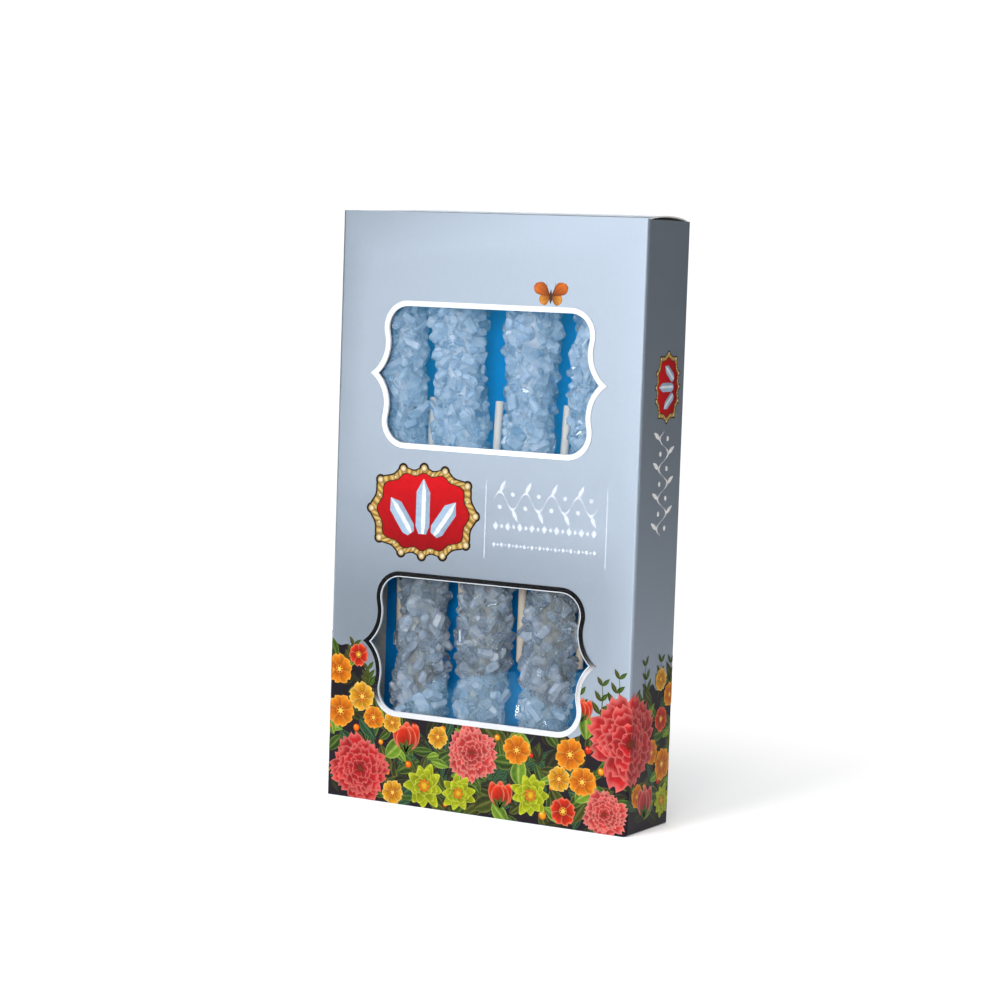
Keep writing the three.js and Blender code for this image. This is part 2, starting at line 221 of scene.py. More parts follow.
def axis_ends(node):
    """A dowel's two ends, lowest first: the line through the middle of its corners along their
    longest spread, cut off where the corners stop."""
    points = corners(node)
    middle = points.mean(axis=0)
    direction = np.linalg.svd(points - middle, full_matrices=False)[2][0]
    direction *= np.sign(direction[2])
    reach = (points - middle) @ direction
    return middle + reach.min() * direction, middle + reach.max() * direction


def across(direction):
    """Two directions square to a line and to each other: one to the right and one to the front."""
    right = np.cross(direction, [0, 1, 0])
    right /= -np.linalg.norm(right)
    return right, np.cross(right, direction)


def grid_faces(rows, columns, closed=False):
    """Quads between neighbours in a grid of points that is stored row by row. A closed grid also
    joins its last column to its first."""
    row, column = np.meshgrid(np.arange(rows - 1), np.arange(columns - (not closed)), indexing="ij")
    here = row * columns + column
    beside = row * columns + (column + 1) % columns
    quads = np.stack([here, beside, beside + columns, here + columns], axis=-1)
    return quads.reshape(-1, 4)


def new_piece(name, points, faces, material, smooth=True):
    """A mesh piece from an array of points and a list of faces, on the one body, with its finish."""
    mesh = bpy.data.meshes.new(name)
    mesh.from_pydata(np.reshape(points, (-1, 3)).tolist(), [], [list(map(int, f)) for f in faces])
    mesh.materials.append(material)
    mesh.polygons.foreach_set("use_smooth", np.full(len(mesh.polygons), smooth))
    piece = bpy.data.objects.new(name, mesh)
    bpy.context.scene.collection.objects.link(piece)
    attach(piece, "root")
    return piece


def turned(low, high, shares, radii, sides):
    """A profile turned round the line between two points. Each ring stands at a share of the line,
    with its own radius, given once or for each side. Returns the points and the faces."""
    line = high - low
    right, front = across(line / np.linalg.norm(line))
    angle = np.linspace(0, 2 * np.pi, sides, endpoint=False)
    round_about = np.cos(angle)[:, None] * right + np.sin(angle)[:, None] * front
    radii = np.broadcast_to(np.reshape(radii, (len(shares), -1)), (len(shares), sides))
    points = low + np.reshape(shares, (-1, 1, 1)) * line + radii[..., None] * round_about
    faces = grid_faces(len(shares), sides, closed=True).tolist()
    last = (len(shares) - 1) * sides
    return points.reshape(-1, 3), faces + [list(range(sides))[::-1], list(range(last, last + sides))]


birch = mottled_finish(
    "birch",
    BIRCH_GRAIN,
    ink(240, 230, 214),
    ink(216, 198, 174),
    rough=0.6,
    detail=4,
    bump=BIRCH_GRAIN_DEPTH,
    IOR=1.45,
)

dowel_lines = {stick: axis_ends(f"dowel_{stick}") for stick in STICKS}
dowel_low, dowel_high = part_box("dowel_up_2")
dowel_shift = abs(dowel_lines["up_2"][1][0] - dowel_lines["up_2"][0][0])
DOWEL_RADIUS = (dowel_high.x - dowel_low.x) / 2 - dowel_shift / 2
draw = np.random.default_rng(11)
for stick, (low, high) in dowel_lines.items():
    length = np.linalg.norm(high - low)
    easing = DOWEL_EASING * np.array([0, 0.3, 1]) / length
    shares = np.concatenate([easing, np.linspace(0.04, 0.96, DOWEL_RINGS), 1 - easing[::-1]])
    radii = DOWEL_RADIUS * (1 - 0.02 * draw.random(len(shares)))
    radii[[0, -1]] -= DOWEL_EASING
    radii[[1, -2]] -= 0.3 * DOWEL_EASING
    points, faces = turned(low, high, shares, radii, DOWEL_SIDES)
    dowel = new_piece(f"stick_{stick}", points, faces, birch)
    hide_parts(f"dowel_{stick}")

# Crystals: sugar grown on each stick from a hot syrup. Blunt, wedge-ended blocks of 3 to 7 mm stand
# at all angles, some clear and some cloudy, round a milky core that is whiter in the upper heads.

BLOCKS = 420
CLOUDY_BLOCKS = {"up": 0.5, "down": 0.3}
BLOCK_LENGTH = (3.4 * MM, 7.2 * MM)
BLOCK_WIDTH = (0.55, 0.95)
BLOCK_THICKNESS = (0.4, 0.75)
BLOCK_SIDES = 6
BLOCK_RINGS = [(-0.5, 0.7), (-0.36, 1.0), (0.34, 1.0), (0.5, 0.6)]
BLOCK_LEAN = 0.25
BLOCK_REACH = (0.88, 1.13)
MASS_SHARE = 0.62
MASS_BUMP = 0.14
MASS_RINGS = 46
MASS_SIDES = 26
MASS_END = 0.6
OUTLINE_BINS = 24
OUTLINE_PERCENTILE = 85
GOLDEN_ANGLE = math.pi * (3 - math.sqrt(5))
CLEAR_OF_DOWEL = 0.25 * MM
PRESS_DEPTH = 1.2 * MM
PRESS_GAP = 0.15 * MM
SUGAR_PALE = ink(238, 246, 252)
CLEAR_DEEP = ink(200, 217, 234)
CLOUDY_DEEP = ink(170, 188, 206)
CORE_INKS = {
    "up": (ink(226, 225, 224), ink(136, 147, 159)),
    "down": (ink(184, 184, 174), ink(112, 122, 130)),
}
SUGAR_LIGHT_LEAK = 0.8


def head_outline(node, low, direction):
    """How far a head of crystals reaches from its stick: the 85th percentile of its corners'
    distance from the stick's line, in even bins along that line."""
    points = corners(node) - low
    along = points @ direction
    away = np.linalg.norm(points - along[:, None] * direction, axis=1)
    edges = np.linspace(along.min(), along.max(), OUTLINE_BINS + 1)
    chosen = np.clip(np.digitize(along, edges) - 1, 0, OUTLINE_BINS - 1)
    reach = [np.percentile(away[chosen == i], OUTLINE_PERCENTILE) for i in range(OUTLINE_BINS)]
    return edges, np.array(reach)


def pressed(value, wall, inward):
    """Squeezes what would pass a flat wall into the last stretch before it, by an exponential that
    never quite gets there. Inward is +1 or -1, the side of the wall that stays free."""
    depth = inward * (value - wall)
    squeezed = PRESS_GAP + (PRESS_DEPTH - PRESS_GAP) * np.exp(
        np.minimum(depth - PRESS_DEPTH, 0) / PRESS_DEPTH
    )
    return wall + inward * np.where(depth < PRESS_DEPTH, squeezed, depth)


def cleared(points, own):
    """Moves points off the other sticks: inside twice the clear radius the distance from a stick's
    line is squeezed into the half that stays free."""
    clear = DOWEL_RADIUS + CLEAR_OF_DOWEL
    for stick, (low, high) in dowel_lines.items():
        if stick == own:
            continue
        direction = (high - low) / np.linalg.norm(high - low)
        along = (points - low) @ direction
        foot = low + along[..., None] * direction
        away = points - foot
        distance = np.linalg.norm(away, axis=-1)
        beside = (along > -clear) & (along < np.linalg.norm(high - low) + clear)
        near = beside & (distance < 2 * clear)
        wanted = clear + distance / 2
        scale = np.where(near, wanted / np.maximum(distance, 1e-9), 1)
        points = foot + away * scale[..., None]
    return points


def packed_in(points, own):
    """Keeps points clear of the film, the card, the base and the other sticks."""
    points = cleared(points, own)
    points[..., 1] = pressed(points[..., 1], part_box("window_film")[1].y, 1)
    points[..., 1] = pressed(points[..., 1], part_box("backing_card")[0].y, -1)
    points[..., 2] = pressed(points[..., 2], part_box("backing_card")[0].z, 1)
    return points


def block_corners(random):
    """A block for each row of random numbers: a six-sided section carried along a short path and
    drawn in at both ends, then scaled to its own three sizes, leaned and turned."""
    angle = 2 * np.pi * (np.arange(BLOCK_SIDES) + 0.5) / BLOCK_SIDES
    rings = [(size * np.cos(angle) / 2, size * np.sin(angle) / 2, height) for height, size in BLOCK_RINGS]
    unit = np.concatenate([np.stack(np.broadcast_arrays(*ring), axis=1) for ring in rings])
    count = len(random)
    length = BLOCK_LENGTH[0] + np.ptp(BLOCK_LENGTH) * random[:, 0]
    width = length * (BLOCK_WIDTH[0] + np.ptp(BLOCK_WIDTH) * random[:, 1])
    thickness = length * (BLOCK_THICKNESS[0] + np.ptp(BLOCK_THICKNESS) * random[:, 2])
    sized = unit[None] * np.stack([width, thickness, length], axis=1)[:, None]
    sized[..., 0] += BLOCK_LEAN * sized[..., 2] * (2 * random[:, 3:4] - 1)
    matrices = np.linalg.qr(random[:, 4:13].reshape(count, 3, 3) - 0.5)[0]
    matrices[np.linalg.det(matrices) < 0, :, 0] *= -1
    return sized @ matrices.transpose(0, 2, 1)


def grown_blocks(low, direction, edges, reach, random):
    """Blocks spread along and round a stick on a golden-angle spiral, each sunk so that its farthest
    corner comes near the head's outline."""
    count = len(random)
    blocks = block_corners(random)
    share = np.clip((np.arange(count) + 0.5 + 3 * (random[:, 13] - 0.5)) / count, 0.01, 0.99)
    angle = GOLDEN_ANGLE * np.arange(count) + 0.5 * (random[:, 14] - 0.5)
    right, front = across(direction)
    outward = np.cos(angle)[:, None] * right + np.sin(angle)[:, None] * front
    along = edges[0] + share * (edges[-1] - edges[0])
    half_length = (blocks @ direction).max(axis=1)
    along = np.clip(along, edges[0] + half_length, edges[-1] - half_length)
    outline = np.interp(along, (edges[1:] + edges[:-1]) / 2, reach)
    wanted = outline * (BLOCK_REACH[0] + np.ptp(BLOCK_REACH) * random[:, 15])
    farthest = np.einsum("nkc,nc->nk", blocks, outward).max(axis=1)
    middle = low + along[:, None] * direction + (wanted - farthest)[:, None] * outward
    return blocks + middle[:, None]


def block_faces(count):
    """The faces of all blocks: the sides between the rings and the two six-sided ends."""
    ring = BLOCK_SIDES
    rings = len(BLOCK_RINGS)
    one = grid_faces(rings, ring, closed=True).tolist()
    ends = [list(range(ring))[::-1], list(range((rings - 1) * ring, rings * ring))]
    shift = ring * rings
    return [[corner + i * shift for corner in face] for i in range(count) for face in one + ends]


def let_light_through(material):
    """Lets a share of the light that falls on clear sugar reach what stands behind it."""
    tree = material.node_tree
    falling = wired(tree, "LightPath").outputs["Is Shadow Ray"]
    kept = wired(tree, "Math", {0: falling, 1: -SUGAR_LIGHT_LEAK, 2: 1}, operation="MULTIPLY_ADD")
    tree.links.new(kept.outputs[0], surface_of(material).inputs["Alpha"])


sugar = mottled_finish(
    "sugar",
    (330, 330, 330),
    SUGAR_PALE,
    CLEAR_DEEP,
    rough=0.05,
    spread=0.08,
    IOR=1.45,
    Transmission_Weight=0.9,
)
cloudy_sugar = mottled_finish(
    "cloudy_sugar",
    (420, 420, 420),
    SUGAR_PALE,
    CLOUDY_DEEP,
    rough=0.2,
    spread=0.2,
    IOR=1.45,
    Transmission_Weight=0.55,
)
milky = {
    way: mottled_finish(f"milky_sugar_{way}", (300, 300, 260), *inks, rough=0.3, spread=0.2, IOR=1.5)
    for way, inks in CORE_INKS.items()
}
for material in (sugar, cloudy_sugar, *milky.values()):
    let_light_through(material)

for number, stick in enumerate(STICKS):
    way = stick.split("_")[0]
    low, high = dowel_lines[stick]
    direction = (high - low) / np.linalg.norm(high - low)
    edges, reach = head_outline(f"crystals_{stick}", low, direction)
    draw = np.random.default_rng(40 + number)
    random = draw.random((BLOCKS, 16))
    blocks = packed_in(grown_blocks(low, direction, edges, reach, random), stick)
    faces = block_faces(BLOCKS)
    head = new_piece(f"rock_crystals_{stick}", blocks, faces, sugar, smooth=False)
    head.data.materials.append(cloudy_sugar)
    cloudy = draw.random(BLOCKS) < CLOUDY_BLOCKS[way]
    cloudy = np.repeat(cloudy, len(faces) // BLOCKS)
    head.data.polygons.foreach_set("material_index", cloudy.astype(np.int32))
    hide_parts(f"crystals_{stick}")

    shares = np.linspace(0.015, 0.985, MASS_RINGS)
    along = edges[0] + shares * (edges[-1] - edges[0])
    bumps = 1 + MASS_BUMP * (2 * draw.random((MASS_RINGS, MASS_SIDES)) - 1)
    radii = MASS_SHARE * np.interp(along, (edges[1:] + edges[:-1]) / 2, reach)[:, None] * bumps
    radii[[0, -1]] *= MASS_END
    base = low + edges[0] * direction
    points, faces = turned(base, low + edges[-1] * direction, shares, radii, MASS_SIDES)
    points = packed_in(points, stick)
    mass = new_piece(f"milky_mass_{stick}", points, faces, milky[way], smooth=False)
    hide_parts(f"crystals_{stick}")

# Window film: one sheet of clear plastic glued inside the front wall, across both windows. It is
# thin enough to ripple a little between its glue lines. A painted reflection lies on it: its mirror
# is tinted blue all over, and a little stronger over its upper half, as a faint blue veil.

FILM_STEPS = 70
FILM_RIPPLE = 0.16 * MM
FILM_THICKNESS = 0.08 * MM
# Painted reflection: how much the film's mirror is raised beyond its gloss, less so below the rise, and its
# blue tints.
FILM_PAINTED_REFLECTION = 0.03
FILM_PAINTED_REFLECTION_BELOW = 0.7
FILM_PAINTED_REFLECTION_RISE = (0.085, 0.125)
FILM_PAINTED_REFLECTION_TINTS = ((0.5, 0.78, 1.0, 1.0), (0.04, 0.5, 1.0, 1.0))
FILM_GLOSS = 1.45


def film_ripple(x, z):
    """Two slow waves across and along the sheet, added."""
    return FILM_RIPPLE * (0.6 * np.sin(95 * x + 30 * z + 0.8) + 0.4 * np.sin(120 * z - 40 * x))


film_low, film_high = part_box("window_film")
film_x = np.linspace(film_low.x, film_high.x, FILM_STEPS)[None, :]
film_z = np.linspace(film_low.z, film_high.z, FILM_STEPS)[:, None]
film_x, film_z = np.broadcast_arrays(film_x, film_z)
film_y = (film_low.y + film_high.y) / 2 + film_ripple(film_x, film_z)

film_clear = plain_finish("film_clear", Metallic=1.0, Roughness=0.04)
film_tree = film_clear.node_tree
film_place = wired(film_tree, "TexCoord").outputs["Object"]
film_height = wired(film_tree, "SeparateXYZ", {0: film_place}).outputs["Z"]
# Painted reflection: from the rise upwards the film mirrors more, and its mirror turns from pale blue to
# deeper blue.
painted_reflection_share = ranged(film_tree, film_height, FILM_PAINTED_REFLECTION_RISE, (FILM_PAINTED_REFLECTION_BELOW, 1))
film_mirror = wired(film_tree, "Fresnel", {"IOR": FILM_GLOSS}).outputs["Fac"]
film_seen = wired(
    film_tree, "Math", {0: painted_reflection_share, 1: FILM_PAINTED_REFLECTION, 2: film_mirror}, operation="MULTIPLY_ADD"
)
painted_reflection_tint = wired(
    film_tree, "Mix", {"Factor": painted_reflection_share, 6: FILM_PAINTED_REFLECTION_TINTS[0], 7: FILM_PAINTED_REFLECTION_TINTS[1]}, data_type="RGBA"
)
film_tree.links.new(film_seen.outputs[0], surface_of(film_clear).inputs["Alpha"])
film_tree.links.new(painted_reflection_tint.outputs[2], surface_of(film_clear).inputs["Base Color"])

film = new_piece(
    "film_sheet",
    np.stack([film_x, film_y, film_z], axis=-1),
    grid_faces(FILM_STEPS, FILM_STEPS),
    film_clear,
)
film_wall = film.modifiers.new("thickness", "SOLIDIFY")
film_wall.thickness = FILM_THICKNESS
film_wall.offset = 0
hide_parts("window_film")

# Carton: one blank of 0.5 mm board with a satin silver-blue face and a bare, pale grey back. The walls
# are creased round and glued, the ends are closed by tucked panels, and the lid springs up a little.

SETBACK = 0.2 * MM
BOARD = 0.5 * MM
FOLD_RADIUS = 1.4 * MM - SETBACK
FOLD_STEPS = 8
WALL_WIDTH = cad_high.x - cad_low.x
WALL_DEPTH = cad_high.y - cad_low.y
WALL_HEIGHT = 210 * MM
HALF_X = WALL_WIDTH / 2 - SETBACK
HALF_Y = WALL_DEPTH / 2 - SETBACK
SIDE_TRIM = 0.4 * MM
BACK_TRIM = 1.4 * MM
WINDOW_CENTRES = (57.3 * MM, 153 * MM)
WINDOW_CORNER = 7.6 * MM
WINDOW_CORNER_AT = (32.5 * MM, 16.5 * MM)
WINDOW_SWEEP = 14.9 * MM
WINDOW_POINT = 44.1 * MM
WINDOW_STEPS = 12


def window_outline(growth):
    """A window's closed outline about its middle, grown outwards. Each quarter is a round corner
    that turns past the vertical and runs on into a hollow sweep, which ends at the point."""
    corner, sweep = WINDOW_CORNER + growth, WINDOW_SWEEP - growth
    reach = WINDOW_CORNER + WINDOW_SWEEP
    corner_x, corner_z = WINDOW_CORNER_AT
    run = WINDOW_POINT - corner_x
    span = math.hypot(run, corner_z)
    fit = (span**2 + reach**2 - WINDOW_SWEEP**2) / (2 * reach)
    turn = math.atan2(corner_z, run) - math.acos(fit / span)
    sweep_x = corner_x + reach * math.cos(turn)
    sweep_z = corner_z - reach * math.sin(turn)
    end = math.pi + math.asin(sweep_z / sweep)
    first = np.linspace(math.pi / 2, -turn, WINDOW_STEPS, endpoint=False)
    second = np.linspace(math.pi - turn, end, WINDOW_STEPS)
    x = np.concatenate([corner_x + corner * np.cos(first), sweep_x + sweep * np.cos(second)])
    z = np.concatenate([corner_z + corner * np.sin(first), sweep_z + sweep * np.sin(second)])
    x = np.concatenate([x, x[-2::-1]])
    z = np.concatenate([z, -z[-2::-1]])
    return np.stack([np.concatenate([x, -x]), np.concatenate([z, -z])], axis=1)


def rounded_outline(half_x, half_y, radius, steps):
    """The walls seen from above: quarter circles in the order front right, back right, back left
    and front left, joined by straight walls. Returns points, outward directions and distances
    along, where the front wall's left edge is at 0."""
    sign = np.repeat([[1, -1], [1, 1], [-1, 1], [-1, -1]], steps + 1, axis=0)
    angle = np.concatenate(
        [quarter * np.pi / 2 + np.linspace(-np.pi / 2, 0, steps + 1) for quarter in range(4)]
    )
    outward = np.stack([np.cos(angle), np.sin(angle)], axis=1)
    points = sign * [half_x - radius, half_y - radius] + radius * outward
    steps_along = np.linalg.norm(np.diff(points, axis=0), axis=1)
    distance = 2 * half_x - radius + np.concatenate([[0], np.cumsum(steps_along)])
    return points, outward, distance


wall_points, wall_outward, wall_distance = rounded_outline(HALF_X, HALF_Y, FOLD_RADIUS, FOLD_STEPS)
PERIMETER = wall_distance[-1] - wall_distance[0] + 2 * (HALF_X - FOLD_RADIUS)


def wall_place(along, height, lift):
    """Points on the walls, from the distance along them, the height and the lift off the board."""
    planes = [
        np.interp(along, wall_distance, column, period=PERIMETER)
        for column in (*wall_points.T, *wall_outward.T)
    ]
    x, y, out_x, out_y = planes
    return np.stack([x + lift * out_x, y + lift * out_y, height + 0 * x], axis=-1)


def wall_ends(along):
    """The lowest and highest edge of the walls: full height in front, cut back under the closing
    panels at the sides, and lower still at the back, where the panels fold over."""
    trims = np.array([0, 0, SIDE_TRIM, SIDE_TRIM, BACK_TRIM, BACK_TRIM, SIDE_TRIM, SIDE_TRIM, 0])
    ring = FOLD_STEPS + 1
    marks = [0] + [wall_distance[k * ring + e] for k in range(4) for e in (0, FOLD_STEPS)]
    trim = np.interp(along, marks, trims, period=PERIMETER)
    return trim, WALL_HEIGHT - trim


def framed_window(centre, bottom, top):
    """The flat wall round a window: a ring from the window's outline to a rectangle, where each
    point lies on the ray from the middle through its own point of the outline."""
    outline = window_outline(0)
    half_x = HALF_X - FOLD_RADIUS
    limit_z = np.where(outline[:, 1] > 0, top - centre, centre - bottom)
    scale = np.minimum(
        half_x / np.maximum(np.abs(outline[:, 0]), 1e-9), limit_z / np.maximum(np.abs(outline[:, 1]), 1e-9)
    )
    border = outline * scale[:, None]
    for corner in [(sx * half_x, z) for sx in (-1, 1) for z in (bottom - centre, top - centre)]:
        nearest = np.argmin(np.linalg.norm(border - corner, axis=1))
        border[nearest] = corner
    middle = (outline + border) / 2
    rings = np.stack([outline, middle, border]) + [0, centre]
    points = np.stack([rings[..., 0], np.full(rings.shape[:2], -HALF_Y), rings[..., 1]], axis=-1)
    return points, grid_faces(3, len(outline), closed=True)


def faces_to_front(points, faces):
    """Turns every face of a flat sheet so that it looks to the front."""
    a, b, c = (points.reshape(-1, 3)[faces[:, k]] for k in (0, 1, 2))
    to_front = np.cross(b - a, c - b)[:, 1] < 0
    return np.where(to_front[:, None], faces, faces[:, ::-1])


class Blank:
    """Gathers the sheets of one piece: arrays of points and faces, joined in the order given."""

    def __init__(self):
        self.points, self.faces, self.colours, self.count = [], [], [], 0

    def add(self, points, faces, colours=None):
        """Takes in a sheet. A printed one brings a colour for each of its points."""
        points = np.reshape(points, (-1, 3))
        self.points.append(points)
        self.faces.append(np.asarray(faces) + self.count)
        if colours is not None:
            self.colours.append(np.broadcast_to(np.reshape(colours, (-1, 3)), points.shape))
        self.count += len(points)

    def piece(self, name, material, smooth=True):
        """Makes one piece of board or print from all its sheets."""
        faces = [face for sheet in self.faces for face in sheet]
        return new_piece(name, np.concatenate(self.points), faces, material, smooth)


board_blank = Blank()
seam_height = sum(WINDOW_CENTRES) / 2
front_edges = []
for centre, bottom, top in (
    (WINDOW_CENTRES[0], 0.0, seam_height),
    (WINDOW_CENTRES[1], seam_height, WALL_HEIGHT),
):
    points, faces = framed_window(centre, bottom, top)
    board_blank.add(points, faces_to_front(points, faces))
    border = points[-1]
    front_edges.append(border[np.abs(border[:, 0] - (HALF_X - FOLD_RADIUS)) < 1e-7, 2])

row_heights = np.unique(np.round(np.concatenate(front_edges), 7))
rows, columns = np.meshgrid(row_heights, wall_distance, indexing="ij")
low_edge, high_edge = wall_ends(columns)
heights = low_edge + rows / WALL_HEIGHT * (high_edge - low_edge)
board_blank.add(wall_place(columns, heights, 0), grid_faces(*rows.shape))

# Closing panels of the carton: each runs from the back wall over a round fold to the front edge and
# tucks a tongue behind the front wall, over two short flaps that fold in from the sides.

PANEL_FRONT = -WALL_DEPTH / 2 + 0.85 * MM
PANEL_HALF = WALL_WIDTH / 2 - 0.6 * MM
PANEL_EASING = 0.5 * MM
PANEL_COLUMNS = 41
BACK_FOLD_ROWS = 7
ACROSS_ROWS = 12
FRONT_FOLD_ROWS = 5
TONGUE_ROWS = 10
TONGUE_START = 0.2
TONGUE_HALF = WALL_WIDTH / 2 - 2.5 * MM
TONGUE_LENGTH = 14 * MM
TONGUE_CORNER = 6 * MM
LID_SPRING = 1.15 * MM
LID_SPRING_LEFT = 0.5 * MM
LID_SPRING_RAMP = 30 * MM
SIDE_FLAP_LENGTH = 24 * MM
SIDE_FLAP_FOLD = 0.7 * MM
SIDE_FLAP_FOLD_ROWS = 5
SIDE_FLAP_ROWS = 8
SIDE_FLAP_COLUMNS = 9
SIDE_FLAP_ENDS = (0.05, 0.95)
SIDE_FLAP_RISE = 0.85 * MM


def closing_panel(spring, spring_left):
    """A profile in Y and Z carried along X: round the back fold, across in a parabola whose height
    ramps up from the left end, round the front edge, and down the tongue with its round corners."""
    fold = np.linspace(0, np.pi / 2, BACK_FOLD_ROWS)
    back = HALF_Y - FOLD_RADIUS
    easing = PANEL_EASING
    across_y = np.linspace(back, PANEL_FRONT + easing, ACROSS_ROWS + 2)[1:-1]
    front_fold = np.linspace(np.pi / 2, np.pi, FRONT_FOLD_ROWS)
    drop = 1 - np.cos(np.linspace(TONGUE_START, np.pi / 2, TONGUE_ROWS))
    profile = [
        (back + FOLD_RADIUS * np.cos(fold), FOLD_RADIUS * (np.sin(fold) - 1)),
        (across_y, np.zeros(ACROSS_ROWS)),
        (PANEL_FRONT + easing + easing * np.cos(front_fold), easing * (np.sin(front_fold) - 1)),
        (np.full(TONGUE_ROWS, PANEL_FRONT), -easing - (TONGUE_LENGTH - easing) * drop),
    ]
    y, z = (np.concatenate(run) for run in zip(*profile))
    past_corner = np.clip((TONGUE_CORNER - TONGUE_LENGTH - z[-TONGUE_ROWS:]) / TONGUE_CORNER, 0, 1)
    half = np.full(len(y), PANEL_HALF)
    half[:BACK_FOLD_ROWS] = HALF_X - FOLD_RADIUS
    half[BACK_FOLD_ROWS] = (half[0] + PANEL_HALF) / 2
    half[-TONGUE_ROWS:] = TONGUE_HALF - TONGUE_CORNER * (1 - np.sqrt(1 - past_corner**2))
    x = half[:, None] * np.linspace(-1, 1, PANEL_COLUMNS)[None, :]
    share = np.clip((y - PANEL_FRONT) / (back - PANEL_FRONT), 0, 1)[:, None]
    ramp = np.clip((x + WALL_WIDTH / 2) / LID_SPRING_RAMP, 0, 1)
    height = spring_left + (spring - spring_left) * ramp**2 * (3 - 2 * ramp)
    over = (z > -FOLD_RADIUS * 0.6)[:, None]
    rise = np.where(over, 4 * height * share * (1 - share), 0)
    points = np.stack([x, np.broadcast_to(y[:, None], x.shape), z[:, None] + rise], axis=-1)
    return points, grid_faces(*x.shape)


def side_flap(side, rise):
    """A profile in X and Z carried along Y: up over the side wall's edge and in under the panel. It
    rises to the given height at its free end, in a parabola from the front edge to the back."""
    fold = np.linspace(0, np.pi / 2, SIDE_FLAP_FOLD_ROWS)
    reach = np.linspace(0, 1, SIDE_FLAP_ROWS + 1)[1:]
    inner = HALF_X - SIDE_FLAP_FOLD
    x = np.concatenate([inner + SIDE_FLAP_FOLD * np.cos(fold), inner - reach * SIDE_FLAP_LENGTH])
    z = np.concatenate([np.sin(fold), np.ones(SIDE_FLAP_ROWS)]) - 1
    z = SIDE_FLAP_FOLD * z - SIDE_TRIM
    lifted = np.concatenate([np.zeros(SIDE_FLAP_FOLD_ROWS), rise * reach**0.35])
    share = np.linspace(*SIDE_FLAP_ENDS, SIDE_FLAP_COLUMNS)
    y = -HALF_Y + 2 * HALF_Y * share
    x, y, z = np.broadcast_arrays(side * x[:, None], y[None, :], z[:, None])
    rise = lifted[:, None] * 4 * share * (1 - share)
    return np.stack([x, y, z + rise], axis=-1), grid_faces(*x.shape)


for end, upward, spring, spring_left in (
    (WALL_HEIGHT, 1, LID_SPRING, LID_SPRING_LEFT),
    (0.0, -1, 0, 0),
):
    panel, faces = closing_panel(spring, spring_left)
    panel = panel * [1, 1, upward] + [0, 0, end]
    board_blank.add(panel, faces[:, ::-1] if upward > 0 else faces)
    for side in (-1, 1):
        rise = SIDE_FLAP_RISE if upward == side == 1 else 0
        flap, faces = side_flap(side, rise)
        flap = flap * [1, 1, upward] + [0, 0, end]
        board_blank.add(flap, faces if upward * side > 0 else faces[:, ::-1])

silver_board = mottled_finish(
    "silver_board",
    (900, 900, 900),
    ink(186, 200, 216),
    ink(182, 196, 212),
    rough=0.36,
    spread=0.03,
    Metallic=0.95,
    IOR=1.5,
)
board_back = mottled_finish(
    "board_back", (700, 700, 700), ink(222, 218, 212), ink(198, 194, 188), rough=0.8
)
board_edge = mottled_finish(
    "board_edge", (1500, 1500, 1500), ink(226, 226, 224), ink(196, 194, 190), rough=0.75
)

SHARP_FOLD = math.radians(30)
WELD_DISTANCE = 0.001 * MM

carton = board_blank.piece("carton_board", silver_board)
carton.data.materials.append(board_back)
carton.data.materials.append(board_edge)
weld = carton.modifiers.new("weld", "WELD")
weld.merge_threshold = WELD_DISTANCE
board_wall = carton.modifiers.new("thickness", "SOLIDIFY")
board_wall.thickness = BOARD
board_wall.offset = -1
board_wall.use_even_offset = True
board_wall.material_offset = 1
board_wall.material_offset_rim = 2


def settled(piece, sharp_angle):
    """Makes a piece's modifiers part of its mesh, and marks edges that turn further as sharp."""
    evaluated = piece.evaluated_get(bpy.context.evaluated_depsgraph_get())
    mesh = bpy.data.meshes.new_from_object(evaluated)
    piece.modifiers.clear()
    piece.data = mesh
    mesh.set_sharp_from_angle(angle=sharp_angle)


settled(carton, SHARP_FOLD)
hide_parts("carton")

# Window frames: a band of mirror foil stamped round each window, 1.6 mm wide, with a thin pale line
# inside it along the cut edge.

FOIL_LIFT = 0.19 * MM
FRAME_RINGS = (0.0, 0.28, 1.9)


def frame_band(centre, inner, outer):
    """The flat band between two outlines of a window, one grown more than the other."""
    rings = np.stack([window_outline(growth * MM) for growth in (inner, outer)]) + [0, centre]
    y = np.full(rings.shape[:2], -HALF_Y - FOIL_LIFT)
    points = np.stack([rings[..., 0], y, rings[..., 1]], axis=-1)
    faces = grid_faces(2, rings.shape[1], closed=True)
    return points, faces_to_front(points, faces)


mirror_foil = mottled_finish(
    "mirror_foil",
    (60, 60, 60),
    ink(240, 242, 245),
    ink(228, 232, 238),
    rough=0.07,
    spread=0.04,
    Metallic=1.0,
)
bare_line = mottled_finish(
    "bare_line", (900, 900, 900), ink(236, 240, 246), ink(214, 222, 232), rough=0.3, Metallic=0.3
)

foil_blank, line_blank = Blank(), Blank()
for centre in WINDOW_CENTRES:
    line_blank.add(*frame_band(centre, *FRAME_RINGS[:2]))
    foil_blank.add(*frame_band(centre, *FRAME_RINGS[1:]))
foil_blank.piece("foil_frames", mirror_foil, smooth=False)
line_blank.piece("foil_frame_lines", bare_line, smooth=False)

# Printed flowers: a dark plum band round the foot of all four walls, crowded with coral, orange and
# lime blooms among green leaves. The inks are laid over each other, the lowest first, and each
# bloom's petals lap like shingles. Half the way round, the pattern repeats.

PRINT_STEP = 0.003 * MM
PRINT_GROWTH = 1.2 * MM
PRINT_BASE = 0.12 * MM
PRINT_DEPTH = 0.88
PLATE_STEPS = 24
HALF_TURN = PERIMETER / 2
PLUM = ink(28, 23, 32)
PALE = ink(226, 236, 250)
WHITE = ink(255, 255, 254)

